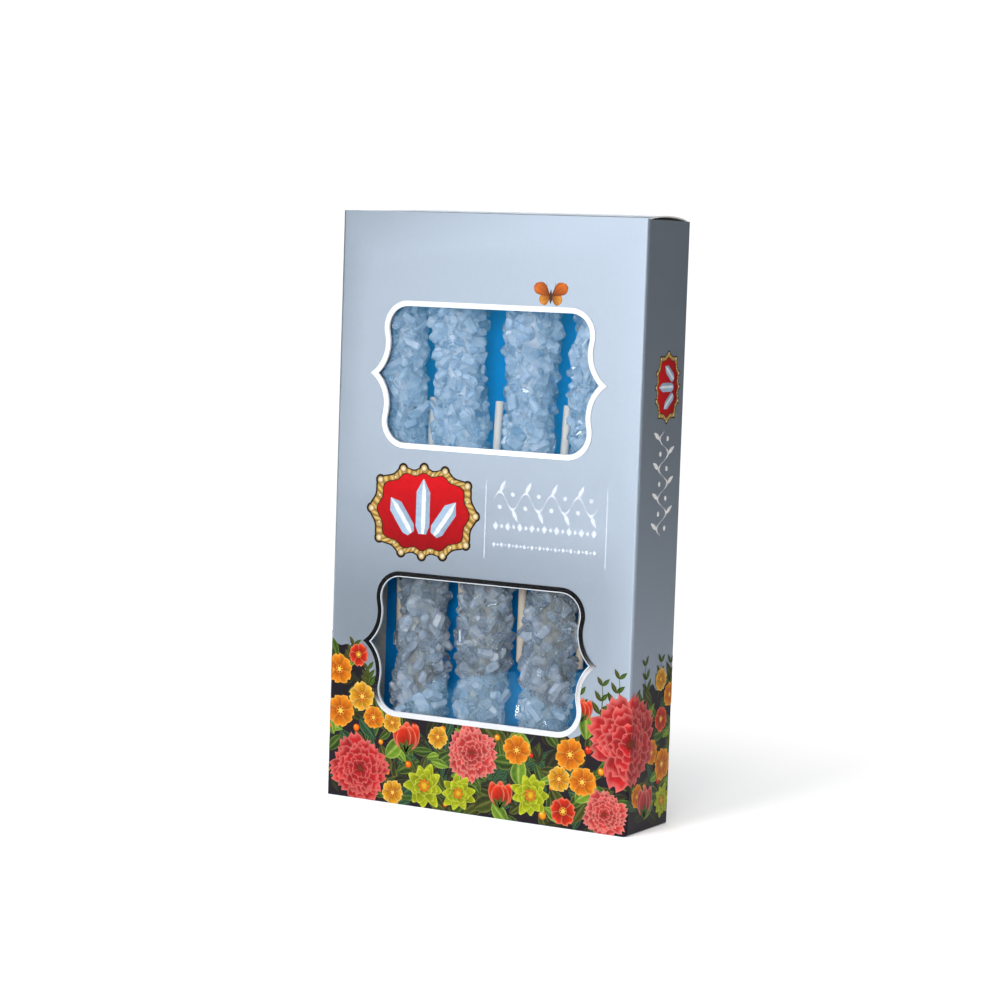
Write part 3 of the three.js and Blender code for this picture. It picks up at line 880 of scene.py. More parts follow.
plate_corners = window_outline(PRINT_GROWTH)
plate_run = np.roll(plate_corners, -1, axis=0) - plate_corners
plate_share = np.linspace(0, 1, PLATE_STEPS, endpoint=False)[None, :, None]
plate_x, plate_z = (plate_corners[:, None] + plate_share * plate_run[:, None]).reshape(-1, 2).T
plate_turn = np.arctan2(plate_z, plate_x)
plate_reach = np.hypot(plate_x, plate_z)


def lay_ink(blank, along, height, lift, colours, closed=False):
    """Lays a grid of ink on the walls, still rolled out flat. What falls in a window is moved out to
    the edge along the ray from its middle, and faces with no room left are dropped."""
    along, height, lift = np.broadcast_arrays(along, height, lift)
    x = np.mod(along, PERIMETER) - HALF_X
    hidden = np.zeros(along.shape, bool)
    for centre in WINDOW_CENTRES:
        z = height - centre
        reach = np.interp(np.arctan2(z, x), plate_turn, plate_reach, period=2 * np.pi)
        scale = reach / np.maximum(np.hypot(x, z), 1e-9)
        inside = (scale > 1) & (np.abs(x) < HALF_X)
        scale = np.where(inside, scale, 1)
        along, x, height = along + x * (scale - 1), x * scale, centre + z * scale
        hidden |= inside
    floor = wall_ends(along)[0] + PRINT_BASE
    hidden |= height < floor
    points = np.stack([along, np.maximum(height, floor), lift * PRINT_STEP], axis=-1)
    faces = grid_faces(*along.shape, closed=closed)
    faces = faces[~hidden.reshape(-1)[faces].all(axis=1)]
    if len(faces):
        blank.add(points, faces, np.reshape(colours, (-1, 3)))


def leaf_grid(rows, columns):
    """Shares from 0 to 1 along a petal or leaf, and from -1 to 1 across it."""
    return np.meshgrid(np.linspace(0, 1, rows), np.linspace(-1, 1, columns), indexing="ij")


def spread(place, turn, across_it, along_it):
    """Turns a flat shape clockwise from upright and sets it down at a place on the walls."""
    along = place[0] + across_it * math.cos(turn) + along_it * math.sin(turn)
    return along, place[1] + along_it * math.cos(turn) - across_it * math.sin(turn)


def blend(a, b, share):
    """From one colour to another by a share for each point."""
    share = np.clip(share, 0, 1)[..., None]
    return a * (1 - share) + b * share


def petal(blank, place, turn, length, width, lift, inks, fullness=1.5, notch=0.0, curl=0.0):
    """Half its width is a sine of the share of its length raised to its fullness. It bends sideways
    with the square of that share. Its ink runs from deep at the base to bright, with a pale rim."""
    deep, bright, rim = inks
    u, v = leaf_grid(8, 9)
    half = width / 2 * np.sin(np.pi * (0.04 + 0.92 * u) ** fullness) ** 0.8
    reach = length * u * (1 - notch * (1 - v**2) * u)
    along, height = spread(place, turn, half * v + curl * length * u**2, reach)
    folds = 1 - 0.38 * (0.5 + 0.5 * np.cos(3 * np.pi * v + 1.2 * u)) * (1 - 0.5 * u) - 0.16 * v
    edge = np.maximum(np.abs(v) ** 8 * (u > 0.25), ((u - 0.82) / 0.18).clip(0) ** 3)
    colours = blend(blend(deep * 0.5, bright, 0.05 + 0.95 * u) * folds[..., None], rim, 0.55 * edge)
    lay_ink(blank, along, height, lift + 0.45 * v, colours)


def leaf(blank, place, turn, length, width, lift, inks, curl=0.0):
    """A pointed leaf: half its width is a sine of its length's share. A pale rib runs along the
    middle, slanting side veins cross the blade, and one half of it is darker than the other."""
    deep, bright, rim = inks
    u, v = leaf_grid(9, 9)
    half = width / 2 * np.sin(np.pi * (0.02 + 0.97 * u) ** 0.85)
    along, height = spread(place, turn, half * v + curl * length * u**2, length * u)
    veins = 0.5 + 0.5 * np.cos(2 * np.pi * (4 * u - 0.8 * np.abs(v)))
    colours = blend(deep, bright, 0.3 + 0.3 * veins + 0.4 * v)
    colours = blend(colours, rim, 0.5 * np.exp(-((v / 0.16) ** 2)) + 0.55 * np.abs(v) ** 8)
    lay_ink(blank, along, height, lift, colours)


def disc(blank, place, radius, lift, inner, outer):
    """A round dot whose ink runs from its middle to its edge."""
    angle = np.linspace(0, 2 * np.pi, 14, endpoint=False)
    share, angle = np.meshgrid(np.linspace(0.02, 1, 4), angle, indexing="ij")
    along, height = place[0] + radius * share * np.sin(angle), place[1] + radius * share * np.cos(angle)
    lay_ink(blank, along, height, lift, blend(inner, outer, share**1.5), closed=True)


def stem(blank, start, end, bow, width, lift, colour):
    """A thin line that bows sideways by a share of its length, a parabola, and tapers to its end."""
    u, v = leaf_grid(12, 2)
    run = np.subtract(end, start)
    side = np.array([run[1], -run[0]])
    path = np.add(start, u[..., None] * run) + (bow * 4 * u * (1 - u))[..., None] * side
    offset = (width * (1 - 0.6 * u) * v / 2)[..., None] * side / np.linalg.norm(side)
    points = path + offset
    lay_ink(blank, points[..., 0], points[..., 1], lift, blend(colour, colour * 1.8, 0.5 + 0.5 * v))


CORAL = (ink(120, 6, 16), ink(212, 36, 42), ink(246, 140, 132))
ROSE = (ink(150, 16, 30), ink(222, 68, 66), ink(250, 172, 160))
ORANGE = (ink(214, 52, 6), ink(252, 148, 18), ink(255, 206, 84))
AMBER = (ink(206, 84, 6), ink(250, 184, 34), ink(255, 232, 140))
SCARLET = (ink(150, 10, 10), ink(236, 54, 22), ink(255, 164, 126))
LIME = (ink(70, 118, 6), ink(190, 206, 20), ink(240, 238, 92))
SHADE = (ink(26, 24, 22), ink(42, 46, 24), ink(80, 86, 46))
OLIVE = (ink(26, 32, 14), ink(70, 82, 26), ink(136, 142, 66))
GREEN = (ink(18, 38, 14), ink(62, 98, 28), ink(144, 168, 76))
BLUE_GREEN = (ink(18, 40, 30), ink(40, 84, 50), ink(104, 146, 100))
FRESH = (ink(50, 96, 16), ink(124, 166, 40), ink(206, 220, 116))


def rosette(blank, place, size, lift, inks, draw):
    """A double bloom: rings of notched petals, each ring shorter and laid over the one before."""
    deep, bright, rim = inks
    for ring, count in enumerate((15, 13, 11, 8, 5)):
        length = size * (1 - 0.185 * ring)
        start = draw.uniform(0, 2 * np.pi)
        for i in range(count):
            turn = start + 2 * np.pi * (i + draw.uniform(-0.25, 0.25)) / count
            tint = draw.uniform(0.72, 1.12)
            petal(
                blank,
                place,
                turn,
                length * draw.uniform(0.86, 1.05),
                2 * np.pi * length / count * draw.uniform(0.95, 1.25),
                lift + ring,
                (deep * tint, bright * tint, rim),
                fullness=1.9,
                notch=0.1,
                curl=draw.uniform(-0.14, 0.14),
            )
    disc(blank, place, size * 0.1, lift + 5, ink(110, 60, 20), deep)


def blossom(blank, place, size, lift, inks, draw):
    """A single open flower: five broad petals round a domed heart with a ring of dots."""
    start = draw.uniform(0, 2 * np.pi)
    for i in range(5):
        turn = start + 2 * np.pi * i / 5
        length = size * draw.uniform(0.88, 1.05)
        petal(blank, place, turn, length, size, lift, inks, fullness=1.6, notch=0.12)
    disc(blank, place, size * 0.3, lift + 1, ink(255, 224, 90), ink(216, 96, 12))
    for i in range(7):
        dot = spread(place, 2 * np.pi * i / 7, 0.0, size * 0.19)
        disc(blank, dot, size * 0.055, lift + 2, ink(120, 40, 8), ink(160, 60, 10))


def star(blank, place, size, lift, inks, draw):
    """A star flower: three rings of pointed petals over a heart of seed dots."""
    for ring, count in enumerate((9, 8, 6)):
        start = draw.uniform(0, 2 * np.pi)
        for i in range(count):
            length = size * (1 - 0.24 * ring) * draw.uniform(0.86, 1.06)
            tint = draw.uniform(0.7, 1.1)
            shades = (inks[0] * tint, inks[1] * tint, inks[2])
            turn = start + 2 * np.pi * (i + draw.uniform(-0.2, 0.2)) / count
            petal(blank, place, turn, length, size * 0.5, lift + ring, shades, fullness=0.95)
    disc(blank, place, size * 0.2, lift + 3, ink(236, 190, 40), ink(176, 130, 10))
    for i in range(8):
        dot = spread(place, 2 * np.pi * i / 8, 0.0, size * 0.22)
        disc(blank, dot, size * 0.07, lift + 4, ink(240, 130, 30), ink(200, 90, 20))


def bell(blank, place, size, lift, inks, draw):
    """A half-open bloom seen from the side: back petals, front petals over them, and green sepals.
    It makes no random draw, unlike the others."""
    for i, lean in enumerate((-0.55, 0.55, 0.0, -0.3, 0.3)):
        width = size * (0.5 if i < 3 else 0.6)
        length = size * (1 if i < 3 else 0.86)
        curl = -0.14 * np.sign(lean)
        petal(blank, place, lean, length, width, lift + i // 3, inks, fullness=1.15, curl=curl)
    for lean in (-0.7, 0.0, 0.7):
        leaf(blank, place, lean, size * 0.42, size * 0.18, lift + 2, GREEN)


def sprig(blank, start, height, bow, lift):
    """A thin shoot that rises above the field, with pairs of leaves and two at its tip."""
    end = (start[0] + bow * height, start[1] + height)
    stem(blank, start, end, bow / 2, 0.5 * MM, lift, OLIVE[1])
    for share, size in ((0.35, 5.0), (0.65, 4.2), (1.0, 3.8)):
        joint = (start[0] + share * bow * height, start[1] + share * height)
        for side in (-1, 1):
            leaf(blank, joint, side * 0.7 + bow, size * MM, 0.4 * size * MM, lift, (OLIVE, GREEN)[side > 0])


MAKERS = {"rosette": rosette, "blossom": blossom, "star": star, "bell": bell}

# kind, inks, distance along and height of the middle, and size, in millimetres
BLOOMS = [
    ("rosette", CORAL, 14, 11, 13),
    ("blossom", ORANGE, 5, 31, 6.4),
    ("blossom", AMBER, 14, 37, 5.6),
    ("blossom", ORANGE, 4, 46, 5.6),
    ("blossom", SCARLET, 12, 52, 4.2),
    ("blossom", ORANGE, 19, 30, 4.6),
    ("bell", SCARLET, 33, 19, 11),
    ("star", LIME, 41, 8, 8.5),
    ("rosette", ROSE, 60, 22, 11),
    ("star", LIME, 55, 7, 7.0),
    ("blossom", AMBER, 46, 26, 4.2),
    ("bell", SCARLET, 72, 4, 9.5),
    ("star", LIME, 84, 10, 8.0),
    ("blossom", ORANGE, 78, 25, 5.6),
    ("blossom", ORANGE, 99, 26, 5.8),
    ("blossom", AMBER, 95, 17, 4.8),
    ("blossom", ORANGE, 104, 17, 5.6),
    ("blossom", SCARLET, 97, 6, 5.2),
    ("bell", SCARLET, 103, 38, 8.0),
    ("rosette", CORAL, 122, 32, 17),
    ("rosette", ROSE, 113, 7, 9),
    ("bell", ROSE, 134, 5, 11),
    ("blossom", AMBER, 143, 52, 4.4),
    ("blossom", ORANGE, 146, 22, 6.0),
    ("blossom", SCARLET, 144, 38, 4.6),
    ("blossom", ORANGE, 128, 13, 4.4),
    ("star", LIME, 147, 9, 6.0),
    ("blossom", AMBER, 27, 29, 4.0),
    ("blossom", ORANGE, 150, 46, 4.6),
    ("blossom", AMBER, 28, 4, 4.6),
    ("blossom", ORANGE, 138, 27, 4.6),
]

# distance along and height of the field's upper edge, in millimetres, up to where the pattern repeats
FIELD_TOP = [
    (0, 54),
    (9, 55),
    (16, 45),
    (24, 36),
    (98, 31),
    (105, 36),
    (113, 38),
    (122, 42),
    (131, 50),
    (151, 49),
]

# distance along and height of the foot, and length, in millimetres, and sideways bow
SPRIGS = [
    (8, 46, 9, 0.2),
    (17, 38, 9, -0.1),
    (104, 34, 13, -0.15),
    (109, 36, 15, 0.1),
    (114, 40, 14, 0.2),
    (134, 44, 14, -0.2),
    (141, 46, 12, 0.15),
    (149, 45, 12, 0.1),
]
LEAVES = 290
LONG_BLADES = 26
BERRIES = 44
GOLDEN_SHARE = 0.618034


def field_top(along):
    """Upper edge of the plum field: straight between named heights, with two small waves on it."""
    marks, heights = np.array(FIELD_TOP).T * MM
    height = np.interp(np.mod(along, HALF_TURN), marks * HALF_TURN / marks[-1], heights)
    return height + 0.9 * MM * np.sin(along / (2.1 * MM)) + 0.6 * MM * np.sin(along / (0.9 * MM))


ground_blank, front_blooms, back_blooms = Blank(), Blank(), Blank()
draw = np.random.default_rng(7)
around = np.arange(0, PERIMETER + 0.7 * MM, 0.75 * MM)[None, :]
foot = wall_ends(around)[0]
field_height = foot + np.linspace(0, 1, 9)[:, None] * (field_top(around) - foot)
lay_ink(ground_blank, around, field_height, 1, np.broadcast_to(PLUM, (*field_height.shape, 3)))

for half, flower_blank in enumerate((front_blooms, back_blooms)):
    for i in range(LONG_BLADES):
        place = (half * HALF_TURN + draw.uniform(46, 104) * MM, draw.uniform(1, 20) * MM)
        length, width = draw.uniform(14, 26) * MM, draw.uniform(1.4, 2.8) * MM
        curl = draw.uniform(-0.35, 0.35)
        leaf(flower_blank, place, draw.uniform(-1.5, 1.5), length, width, 2 + i % 6 / 2, BLUE_GREEN, curl)
    for i in range(LEAVES):
        along = HALF_TURN * (half + (i * GOLDEN_SHARE) % 1)
        share = draw.random()
        place = (along, (0.02 + 0.97 * share) * field_top(along))
        turn = draw.uniform(-2.6, 2.6) if share < 0.7 else draw.uniform(-0.9, 0.9)
        length = draw.uniform(5, 11) * MM
        inks = (SHADE, OLIVE, SHADE, GREEN, BLUE_GREEN, OLIVE, GREEN, FRESH)[8 * i // LEAVES]
        width = length * draw.uniform(0.35, 0.62)
        leaf(flower_blank, place, turn, length, width, 5 + i / LEAVES * 14, inks, draw.uniform(-0.2, 0.2))
    for i in range(BERRIES):
        along = HALF_TURN * (half + (i * GOLDEN_SHARE + 0.37) % 1)
        place = (along, draw.uniform(0.05, 1.04) * field_top(along))
        radius = draw.uniform(0.7, 1.6) * MM
        inks = (ORANGE, SCARLET, AMBER)[i % 3]
        disc(flower_blank, place, radius, 20 + i % 3, inks[1], inks[0])
        glint = (place[0] - radius / 3, place[1] + radius / 3)
        disc(flower_blank, glint, radius / 3, 23.5, inks[2], inks[1])
    for along, height, length, bow in SPRIGS:
        sprig(flower_blank, (half * HALF_TURN + along * MM, height * MM), length * MM, bow, 24)
    for i, (kind, inks, along, height, size) in enumerate(BLOOMS):
        place = (half * HALF_TURN + along * MM, height * MM)
        MAKERS[kind](flower_blank, place, size * MM, 25 + 7 * (i % 5), inks, draw)

INK_DEEPER = (0.72, 0.68, 0.68, 1)

printed_inks = mottled_finish(
    "printed_inks",
    (620, 620, 620),
    PALE,
    PALE,
    rough=0.36,
    spread=0.1,
    detail=4,
    IOR=1.5,
    Specular_IOR_Level=0.22,
)
ink_tree = printed_inks.node_tree
laid_ink = wired(ink_tree, "Attribute", attribute_name="ink").outputs["Color"]
deeper_ink = wired(
    ink_tree,
    "Mix",
    {"Factor": 1, 6: laid_ink, 7: INK_DEEPER},
    data_type="RGBA",
    blend_type="MULTIPLY",
).outputs[2]
ink_tree.links.new(laid_ink, ink_tree.nodes["mottle"].inputs["Light colour"])
ink_tree.links.new(deeper_ink, ink_tree.nodes["mottle"].inputs["Dark colour"])


def creased(flat):
    """Cuts a flat print along every line of the board's folds, so that it can bend with the board."""
    ring = FOLD_STEPS + 1
    print_mesh = bmesh.new()
    print_mesh.from_mesh(flat)
    for shift in (-PERIMETER, 0, PERIMETER):
        for lines in wall_distance.reshape(4, ring) + shift:
            crossing = [
                face
                for face in print_mesh.faces
                if min(corner.co.x for corner in face.verts) < lines[-1]
                and max(corner.co.x for corner in face.verts) > lines[0]
            ]
            parts = set(crossing)
            for face in crossing:
                parts.update(face.edges)
                parts.update(face.verts)
            parts = list(parts)
            for line in lines:
                cut = bmesh.ops.bisect_plane(
                    print_mesh, geom=parts, dist=1e-7, plane_co=(line, 0, 0), plane_no=(1, 0, 0)
                )
                parts = cut["geom"]
    print_mesh.to_mesh(flat)
    print_mesh.free()


def printed_piece(blank, name):
    """Makes a print piece: laid out flat with its inks, creased at the folds, wrapped on the walls."""
    piece = blank.piece(name, printed_inks, smooth=False)
    colours = PRINT_DEPTH * np.concatenate(blank.colours)
    colours = np.hstack([colours, np.ones((len(colours), 1))])
    attribute = piece.data.color_attributes.new("ink", "FLOAT_COLOR", "POINT")
    attribute.data.foreach_set("color", colours.astype(np.float32).ravel())
    creased(piece.data)
    flat = np.empty(3 * len(piece.data.vertices), np.float32)
    piece.data.vertices.foreach_get("co", flat)
    along, height, lift = flat.reshape(-1, 3).T.astype(float)
    piece.data.vertices.foreach_set("co", wall_place(along, height, lift).astype(np.float32).ravel())
    piece.data.update()


printed_piece(ground_blank, "floral_ground")
printed_piece(front_blooms, "floral_print_front")
printed_piece(back_blooms, "floral_print_back")

# Printed plaques: a deep red shield with a scalloped gold border and a white drawing of crystals, on
# the front between the windows and again, turned upright, on the right side.

GOLD_LIGHT = ink(246, 212, 124)
GOLD_DEEP = ink(120, 84, 24)
GOLD_LINE = ink(34, 20, 10)
GOLD_BEAD = ink(255, 240, 190)
RED_LIGHT = ink(214, 6, 20)
RED_DEEP = ink(150, 0, 12)
FROST = ink(236, 242, 248)
FROST_SHADE = ink(168, 196, 222)
SCALLOPS = 12
PLAQUE_SIDES = 224
PLAQUE_FIELD_SHARE = 0.833
PLAQUE_ROPE = (0.852, 0.967)
PLAQUE_RINGS = [0.01, 0.25, 0.5, 0.83, 0.835, 0.85, 0.855, 0.88, 0.91, 0.94, 0.965, 0.97, 1.0]


def plaque_edge(half_width, half_height, angle):
    """A superellipse with shallow scallops: how far the shield reaches at an angle."""
    reach = np.abs(np.cos(angle) / half_width) ** 2.5 + np.abs(np.sin(angle) / half_height) ** 2.5
    return reach ** (-1 / 2.5) * (1 + 0.045 * np.cos(SCALLOPS * angle))


def shard(blank, place, turn, length, width, lift):
    """A drawn crystal: a long block with a cut foot and a pointed top, in three tones of white."""
    u = np.array([0.0, 0.14, 0.76, 1.0])[:, None]
    half = np.array([0.55, 1.0, 1.0, 0.04])[:, None] * width / 2
    edges = np.array([-1, -0.22, -0.2, 0.38, 0.4, 1.0])[None, :]
    tones = np.stack([FROST_SHADE, FROST_SHADE, FROST, FROST, FROST_SHADE * 0.8, FROST_SHADE * 0.8])
    along, height = spread(place, turn, half * edges, length * u + 0 * edges)
    lay_ink(blank, along, height, lift, np.broadcast_to(tones, (4, 6, 3)))


def plaque(blank, place, half_width, half_height, turn):
    """The shield's field, then its border as a twisted gold rope between two dark lines, with a ball
    on every scallop and beads between them, and three crystals drawn on the field."""
    angle = np.linspace(0, 2 * np.pi, PLAQUE_SIDES, endpoint=False)
    share, angle = np.meshgrid(PLAQUE_RINGS, angle, indexing="ij")
    reach = plaque_edge(half_width, half_height, angle) * share
    rope = 0.5 + 0.5 * np.cos(56 * angle + 30 * share)
    red = blend(RED_DEEP, RED_LIGHT, 0.5 + 0.7 * share * np.sin(angle))
    gold = blend(GOLD_DEEP, GOLD_LIGHT, rope * (1 - ((share - 0.91) / 0.08) ** 2).clip(0.1))
    on_rope = (share > PLAQUE_ROPE[0]) & (share <= PLAQUE_ROPE[1])
    colours = np.where(on_rope[..., None], gold, GOLD_LINE)
    colours = np.where((share < PLAQUE_FIELD_SHARE)[..., None], red, colours)
    along, height = spread(place, turn, reach * np.cos(angle), reach * np.sin(angle))
    lay_ink(blank, along, height, 2, colours, closed=True)
    for i in range(2 * SCALLOPS):
        angle = np.pi * i / SCALLOPS
        reach = plaque_edge(half_width, half_height, angle) * (0.905 if i % 2 else 0.95)
        bead = spread(place, turn, reach * math.cos(angle), reach * math.sin(angle))
        if i % 2 == 0:
            disc(blank, bead, 0.13 * half_height, 1, GOLD_LINE, GOLD_LINE)
        disc(blank, bead, (0.045 if i % 2 else 0.085) * half_height, 3, GOLD_BEAD, GOLD_DEEP)
    for lean, length, shift in ((-0.62, 0.95, -0.3), (0.62, 0.95, 0.3), (0.0, 1.25, 0.0)):
        foot_place = spread(place, turn, shift * half_height, -0.5 * half_height)
        shard(blank, foot_place, turn + lean, length * half_height, 0.36 * half_height, 4 if lean else 5)


plaque_blank = Blank()
plaque(plaque_blank, (36.8 * MM, 105 * MM), 21.5 * MM, 15.6 * MM, 0.0)
plaque(plaque_blank, (139.5 * MM, 153 * MM), 11.6 * MM, 8.6 * MM, -math.pi / 2)
printed_piece(plaque_blank, "plaque_print")

# Printed ornament: a pale garland over two rows of spangles between thin upright rules on the front,
# a garland on the right side, and a small butterfly that sits on the upper window's frame.

ornament_blank = Blank()
RULES = (62.2 * MM, 109.7 * MM)
RULE_HALF_WIDTH = 0.16 * MM
RULE_ENDS = (91 * MM, 118 * MM)
ORNAMENT_START = RULES[0] + 3 * MM
ORNAMENT_LENGTH = 41 * MM

# height, count and size of the spangles
SPANGLE_ROWS = ((102.5 * MM, 17, 1.5 * MM), (96 * MM, 27, 0.95 * MM))


def diamond(blank, place, half_width, half_height, lift, colour):
    """A four-cornered spangle."""
    along = place[0] + half_width * np.array([[0, -1], [1, 0]])
    height = place[1] + half_height * np.array([[-1, 0], [0, 1]])
    lay_ink(blank, along, height, lift, np.broadcast_to(colour, (2, 2, 3)))


def garland(blank, start, turn, length, swing, waves, colour):
    """A thin sine-shaped line with a leaf on the outside of every bend and a dot in it."""
    u, v = leaf_grid(waves * 16 + 1, 3)
    wave = np.sin(np.pi * waves * u)
    offset = swing * wave + (0.05 + 0.12 * wave**2) * swing * v
    along, height = spread(start, turn, -offset, length * u)
    lay_ink(blank, along, height, 1, np.broadcast_to(colour, (*u.shape, 3)))
    for i in range(waves):
        side = -1 if i % 2 else 1
        crest = spread(start, turn, -side * swing, length * (i + 0.5) / waves)
        leaf(blank, crest, turn - side * 1.1, 1.5 * swing, 0.5 * swing, 1.5, (colour, colour, colour))
        inner = spread(start, turn, side * 0.75 * swing, length * (i + 0.5) / waves)
        disc(blank, inner, 0.26 * swing, 1.5, colour, colour)


for along in RULES:
    rule_along, rule_height = np.meshgrid(
        [along - RULE_HALF_WIDTH, along + RULE_HALF_WIDTH], RULE_ENDS
    )
    lay_ink(ornament_blank, rule_along, rule_height, 1, np.broadcast_to(PALE, (2, 2, 3)))
garland_start = (ORNAMENT_START, 111.5 * MM)
garland(ornament_blank, garland_start, math.pi / 2, ORNAMENT_LENGTH, 3.0 * MM, 8, PALE)
for height, count, size in SPANGLE_ROWS:
    for i in range(count):
        along = ORNAMENT_START + ORNAMENT_LENGTH * (i + 0.5) / count
        scale = size * (0.6 if i % 2 else 1)
        diamond(ornament_blank, (along, height), scale * 0.72, scale, 1, PALE)
garland(ornament_blank, (138.5 * MM, 102 * MM), 0.0, 36 * MM, 3.4 * MM, 7, WHITE)

WING = (ink(120, 44, 20), ink(232, 120, 40), ink(70, 40, 34))
HIND_WING = (ink(150, 60, 30), ink(240, 160, 60), ink(88, 52, 44))
BODY_INKS = (GOLD_LINE, ink(70, 46, 36), ink(120, 90, 70))
butterfly = (85 * MM, 182.4 * MM)
for side in (-1, 1):
    petal(ornament_blank, butterfly, side * 0.9, 7.4 * MM, 4.8 * MM, 2, WING, fullness=1.7, curl=side * 0.1)
    petal(ornament_blank, butterfly, side * 1.9, 4.6 * MM, 4.2 * MM, 1, HIND_WING, fullness=1.5)
    feeler_tip = (butterfly[0] + side * 1.6 * MM, butterfly[1] + 4.8 * MM)
    stem(ornament_blank, butterfly, feeler_tip, side * 0.1, 0.25 * MM, 3, GOLD_LINE)
tail = (butterfly[0], butterfly[1] - 2.4 * MM)
leaf(ornament_blank, tail, 0.0, 5 * MM, 1.2 * MM, 4, BODY_INKS)
printed_piece(ornament_blank, "ornament_print")

# Studio: a white table in a white room, with soft panels in front on the left and overhead, a small
# bright lamp, two fills that no reflection sees, and a panel behind that only reflections see. A dark
# card with an uneven foot, also for reflections alone, lies low in front on the left.

CAMERA_PLACE = (0.48767, -0.86330, 0.19633)
CAMERA_YAW = 0.5159
CAMERA_DIP = 0.0868
CAMERA_ROLL = 0.0343
CAMERA_LENS = 101.68
CAMERA_SENSOR = 36
CAMERA_NEAR = 0.05

camera_data = bpy.data.cameras.new("camera")
camera_data.lens = CAMERA_LENS
camera_data.sensor_width = CAMERA_SENSOR
camera_data.clip_start = CAMERA_NEAR
camera = bpy.data.objects.new("camera", camera_data)
bpy.context.scene.collection.objects.link(camera)
camera.matrix_world = (
    Matrix.Translation(CAMERA_PLACE)
    @ Matrix.Rotation(CAMERA_YAW, 4, "Z")
    @ Matrix.Rotation(math.pi / 2 - CAMERA_DIP, 4, "X")
    @ Matrix.Rotation(CAMERA_ROLL, 4, "Z")
)
bpy.context.scene.camera = camera
bpy.context.scene.view_settings.view_transform = "Standard"


def stage_piece(name, points, faces, material):
    """A piece of the studio, which is no part of the pack."""
    mesh = bpy.data.meshes.new(name)
    mesh.from_pydata(points, [], faces)
    mesh.materials.append(material)
    sheet = bpy.data.objects.new(name, mesh)
    bpy.context.scene.collection.objects.link(sheet)
    return sheet


TABLE_REACH = 4
TABLE_GLOW = 0.13
TABLE_SEEN = 1.0
TABLE_MIRRORED = (0.87, 0.5)
TABLE_TURN = (0.0, 0.12)
TABLE_LIGHTING = 0.36
TABLE_FADE = (0.09, 0.27)
ROOM_SEEN = 1.05
ROOM_LIGHTING = 0.15


def table_white():
    """White to the camera and greyer to what it lights or is mirrored in, most so on the right. Away
    from the middle it fades into the room, so that no edge of it shows."""
    material = bpy.data.materials.new("table_white")
    material.use_nodes = True
    tree = material.node_tree
    tree.nodes.clear()
    ray = wired(tree, "LightPath").outputs
    place = wired(tree, "TexCoord").outputs["Object"]
    to_right = wired(tree, "SeparateXYZ", {0: place}).outputs["X"]
    turn = ranged(tree, to_right, TABLE_TURN, TABLE_MIRRORED)
    mirrored = wired(tree, "BsdfDiffuse", {"Color": turn})
    lighting = wired(tree, "BsdfDiffuse", {"Color": (*[TABLE_LIGHTING] * 3, 1)})
    seen = wired(tree, "BsdfDiffuse", {"Color": (*[TABLE_SEEN] * 3, 1)})
    glow = wired(tree, "Emission", {"Strength": TABLE_GLOW})
    lit = wired(tree, "AddShader", {0: glow.outputs[0], 1: seen.outputs[0]})
    away = wired(tree, "VectorMath", {0: place}, operation="LENGTH").outputs["Value"]
    fade = ranged(tree, away, TABLE_FADE, (0, 1), interpolation_type="SMOOTHSTEP")
    room_white = wired(tree, "Emission", {"Strength": ROOM_SEEN})
    faded = wired(tree, "MixShader", {0: fade, 1: lit.outputs[0], 2: room_white.outputs[0]})
    sides = {0: ray["Is Glossy Ray"], 1: lighting.outputs[0], 2: mirrored.outputs[0]}
    unseen = wired(tree, "MixShader", sides)
    sides = {0: ray["Is Camera Ray"], 1: unseen.outputs[0], 2: faded.outputs[0]}
    whole = wired(tree, "MixShader", sides)
    wired(tree, "OutputMaterial", {"Surface": whole.outputs[0]})
    return material


table_corners = [(x * TABLE_REACH, y * TABLE_REACH, 0) for x, y in ((-1, -1), (1, -1), (1, 1), (-1, 1))]
stage_piece("table", table_corners, [(0, 1, 2, 3)], table_white())

CARD_MIDDLE = np.array([-0.110, -0.207])
CARD_RUN = np.array([0.870, -0.493])
CARD_TOP = 0.066
CARD_FOOT = [
    (-0.095, 0.005),
    (-0.046, 0.005),
    (-0.036, 0.002),
    (-0.013, 0.019),
    (-0.011, 0.011),
    (-0.009, 0.017),
    (0.012, 0.020),
    (0.013, 0.010),
    (0.014, 0.014),
    (0.031, 0.001),
    (0.041, 0.001),
    (0.045, 0.021),
    (0.085, 0.022),
]

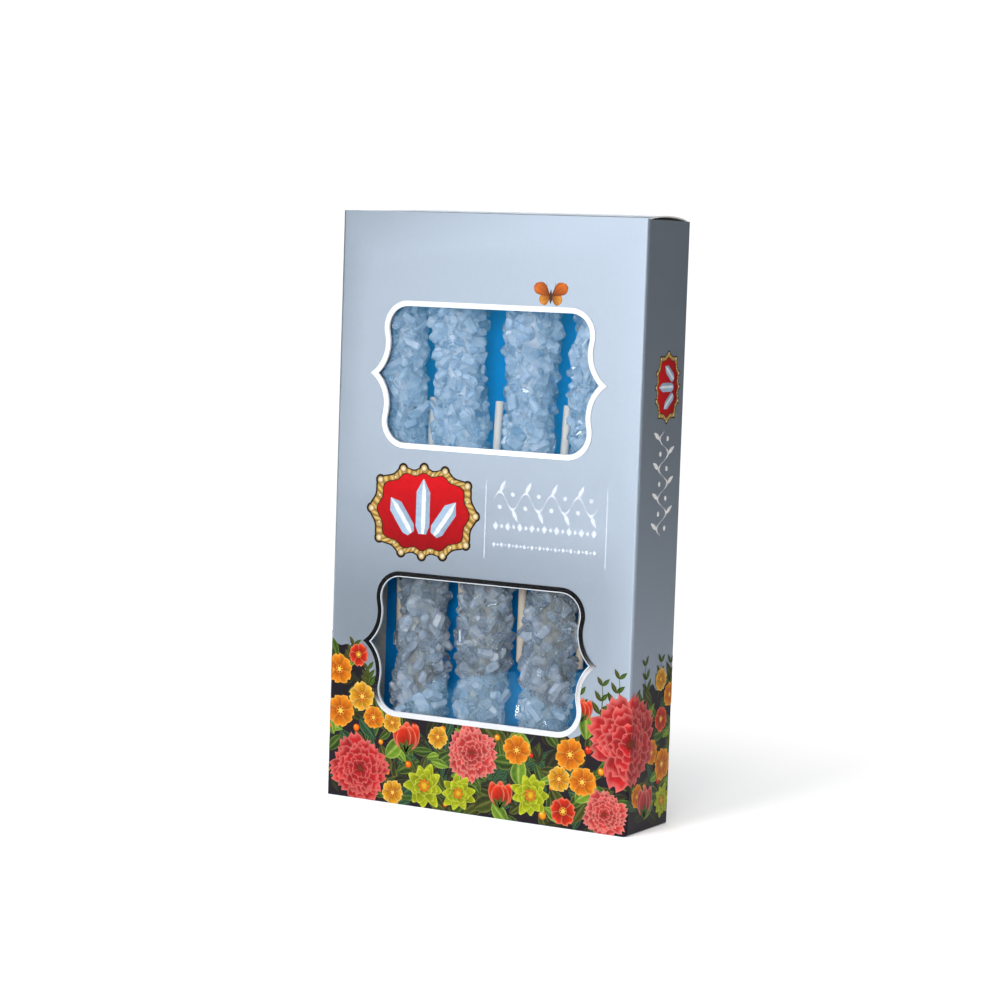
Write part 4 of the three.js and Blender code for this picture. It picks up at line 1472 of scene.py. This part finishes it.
dark_card = plain_finish("dark_card", Base_Color=(0.01, 0.01, 0.012, 1), Roughness=1.0)
run, foot = np.array(CARD_FOOT).T
plan = CARD_MIDDLE + run[:, None] * CARD_RUN
card_rows = [np.column_stack([plan, height]) for height in (foot, np.full(len(foot), CARD_TOP))]
card_faces = grid_faces(2, len(foot))
card = stage_piece("dark_card", np.concatenate(card_rows).tolist(), card_faces.tolist(), dark_card)
card.visible_camera = card.visible_diffuse = card.visible_shadow = card.visible_transmission = False


def soft_light(name, place, target, width, height, power):
    """A rectangular light at a place, facing a target."""
    data = bpy.data.lights.new(name, "AREA")
    data.shape = "RECTANGLE"
    data.size, data.size_y, data.energy = width, height, power
    light = bpy.data.objects.new(name, data)
    bpy.context.scene.collection.objects.link(light)
    aim = Vector(place) - Vector(target)
    light.matrix_world = Matrix.Translation(place) @ aim.to_track_quat("Z", "Y").to_matrix().to_4x4()
    light.visible_camera = False
    return light


# name, place, target, width and height in metres, and power in watts
LIGHTS = [
    ("front_panel", (-0.11, -1.562, 0.64), (0.58, -0.312, 0.64), 1.7, 1.28, 8.3),
    ("key_lamp", (-0.12, -0.95, 0.95), (0, 0, 0.1), 0.3, 0.3, 7),
    ("top_panel", (-0.2, -0.1, 1.5), (0, 0, 0), 1.6, 1.6, 15),
    ("low_fill", (0.45, -1.15, 0.3), (0, 0, 0.1), 0.5, 0.4, 9.5),
    ("side_fill", (1.2, -0.4, 0.25), (0.06, 0, 0.1), 0.5, 0.4, 4.5),
    ("back_panel", (-0.65, 1.1, 0.28), (0, 0, 0.2), 0.9, 0.5, 5),
]
lights = {light[0]: soft_light(*light) for light in LIGHTS}
lights["low_fill"].visible_glossy = lights["side_fill"].visible_glossy = False
lights["back_panel"].visible_diffuse = False

room = bpy.data.worlds.new("room")
bpy.context.scene.world = room
room.use_nodes = True
room_tree = room.node_tree
camera_ray = wired(room_tree, "LightPath").outputs["Is Camera Ray"]
backdrop = room_tree.nodes["Background"].inputs
backdrop["Color"].default_value = (1, 1, 1, 1)
strength = ranged(room_tree, camera_ray, (0, 1), (ROOM_LIGHTING, ROOM_SEEN))
room_tree.links.new(strength, backdrop["Strength"])
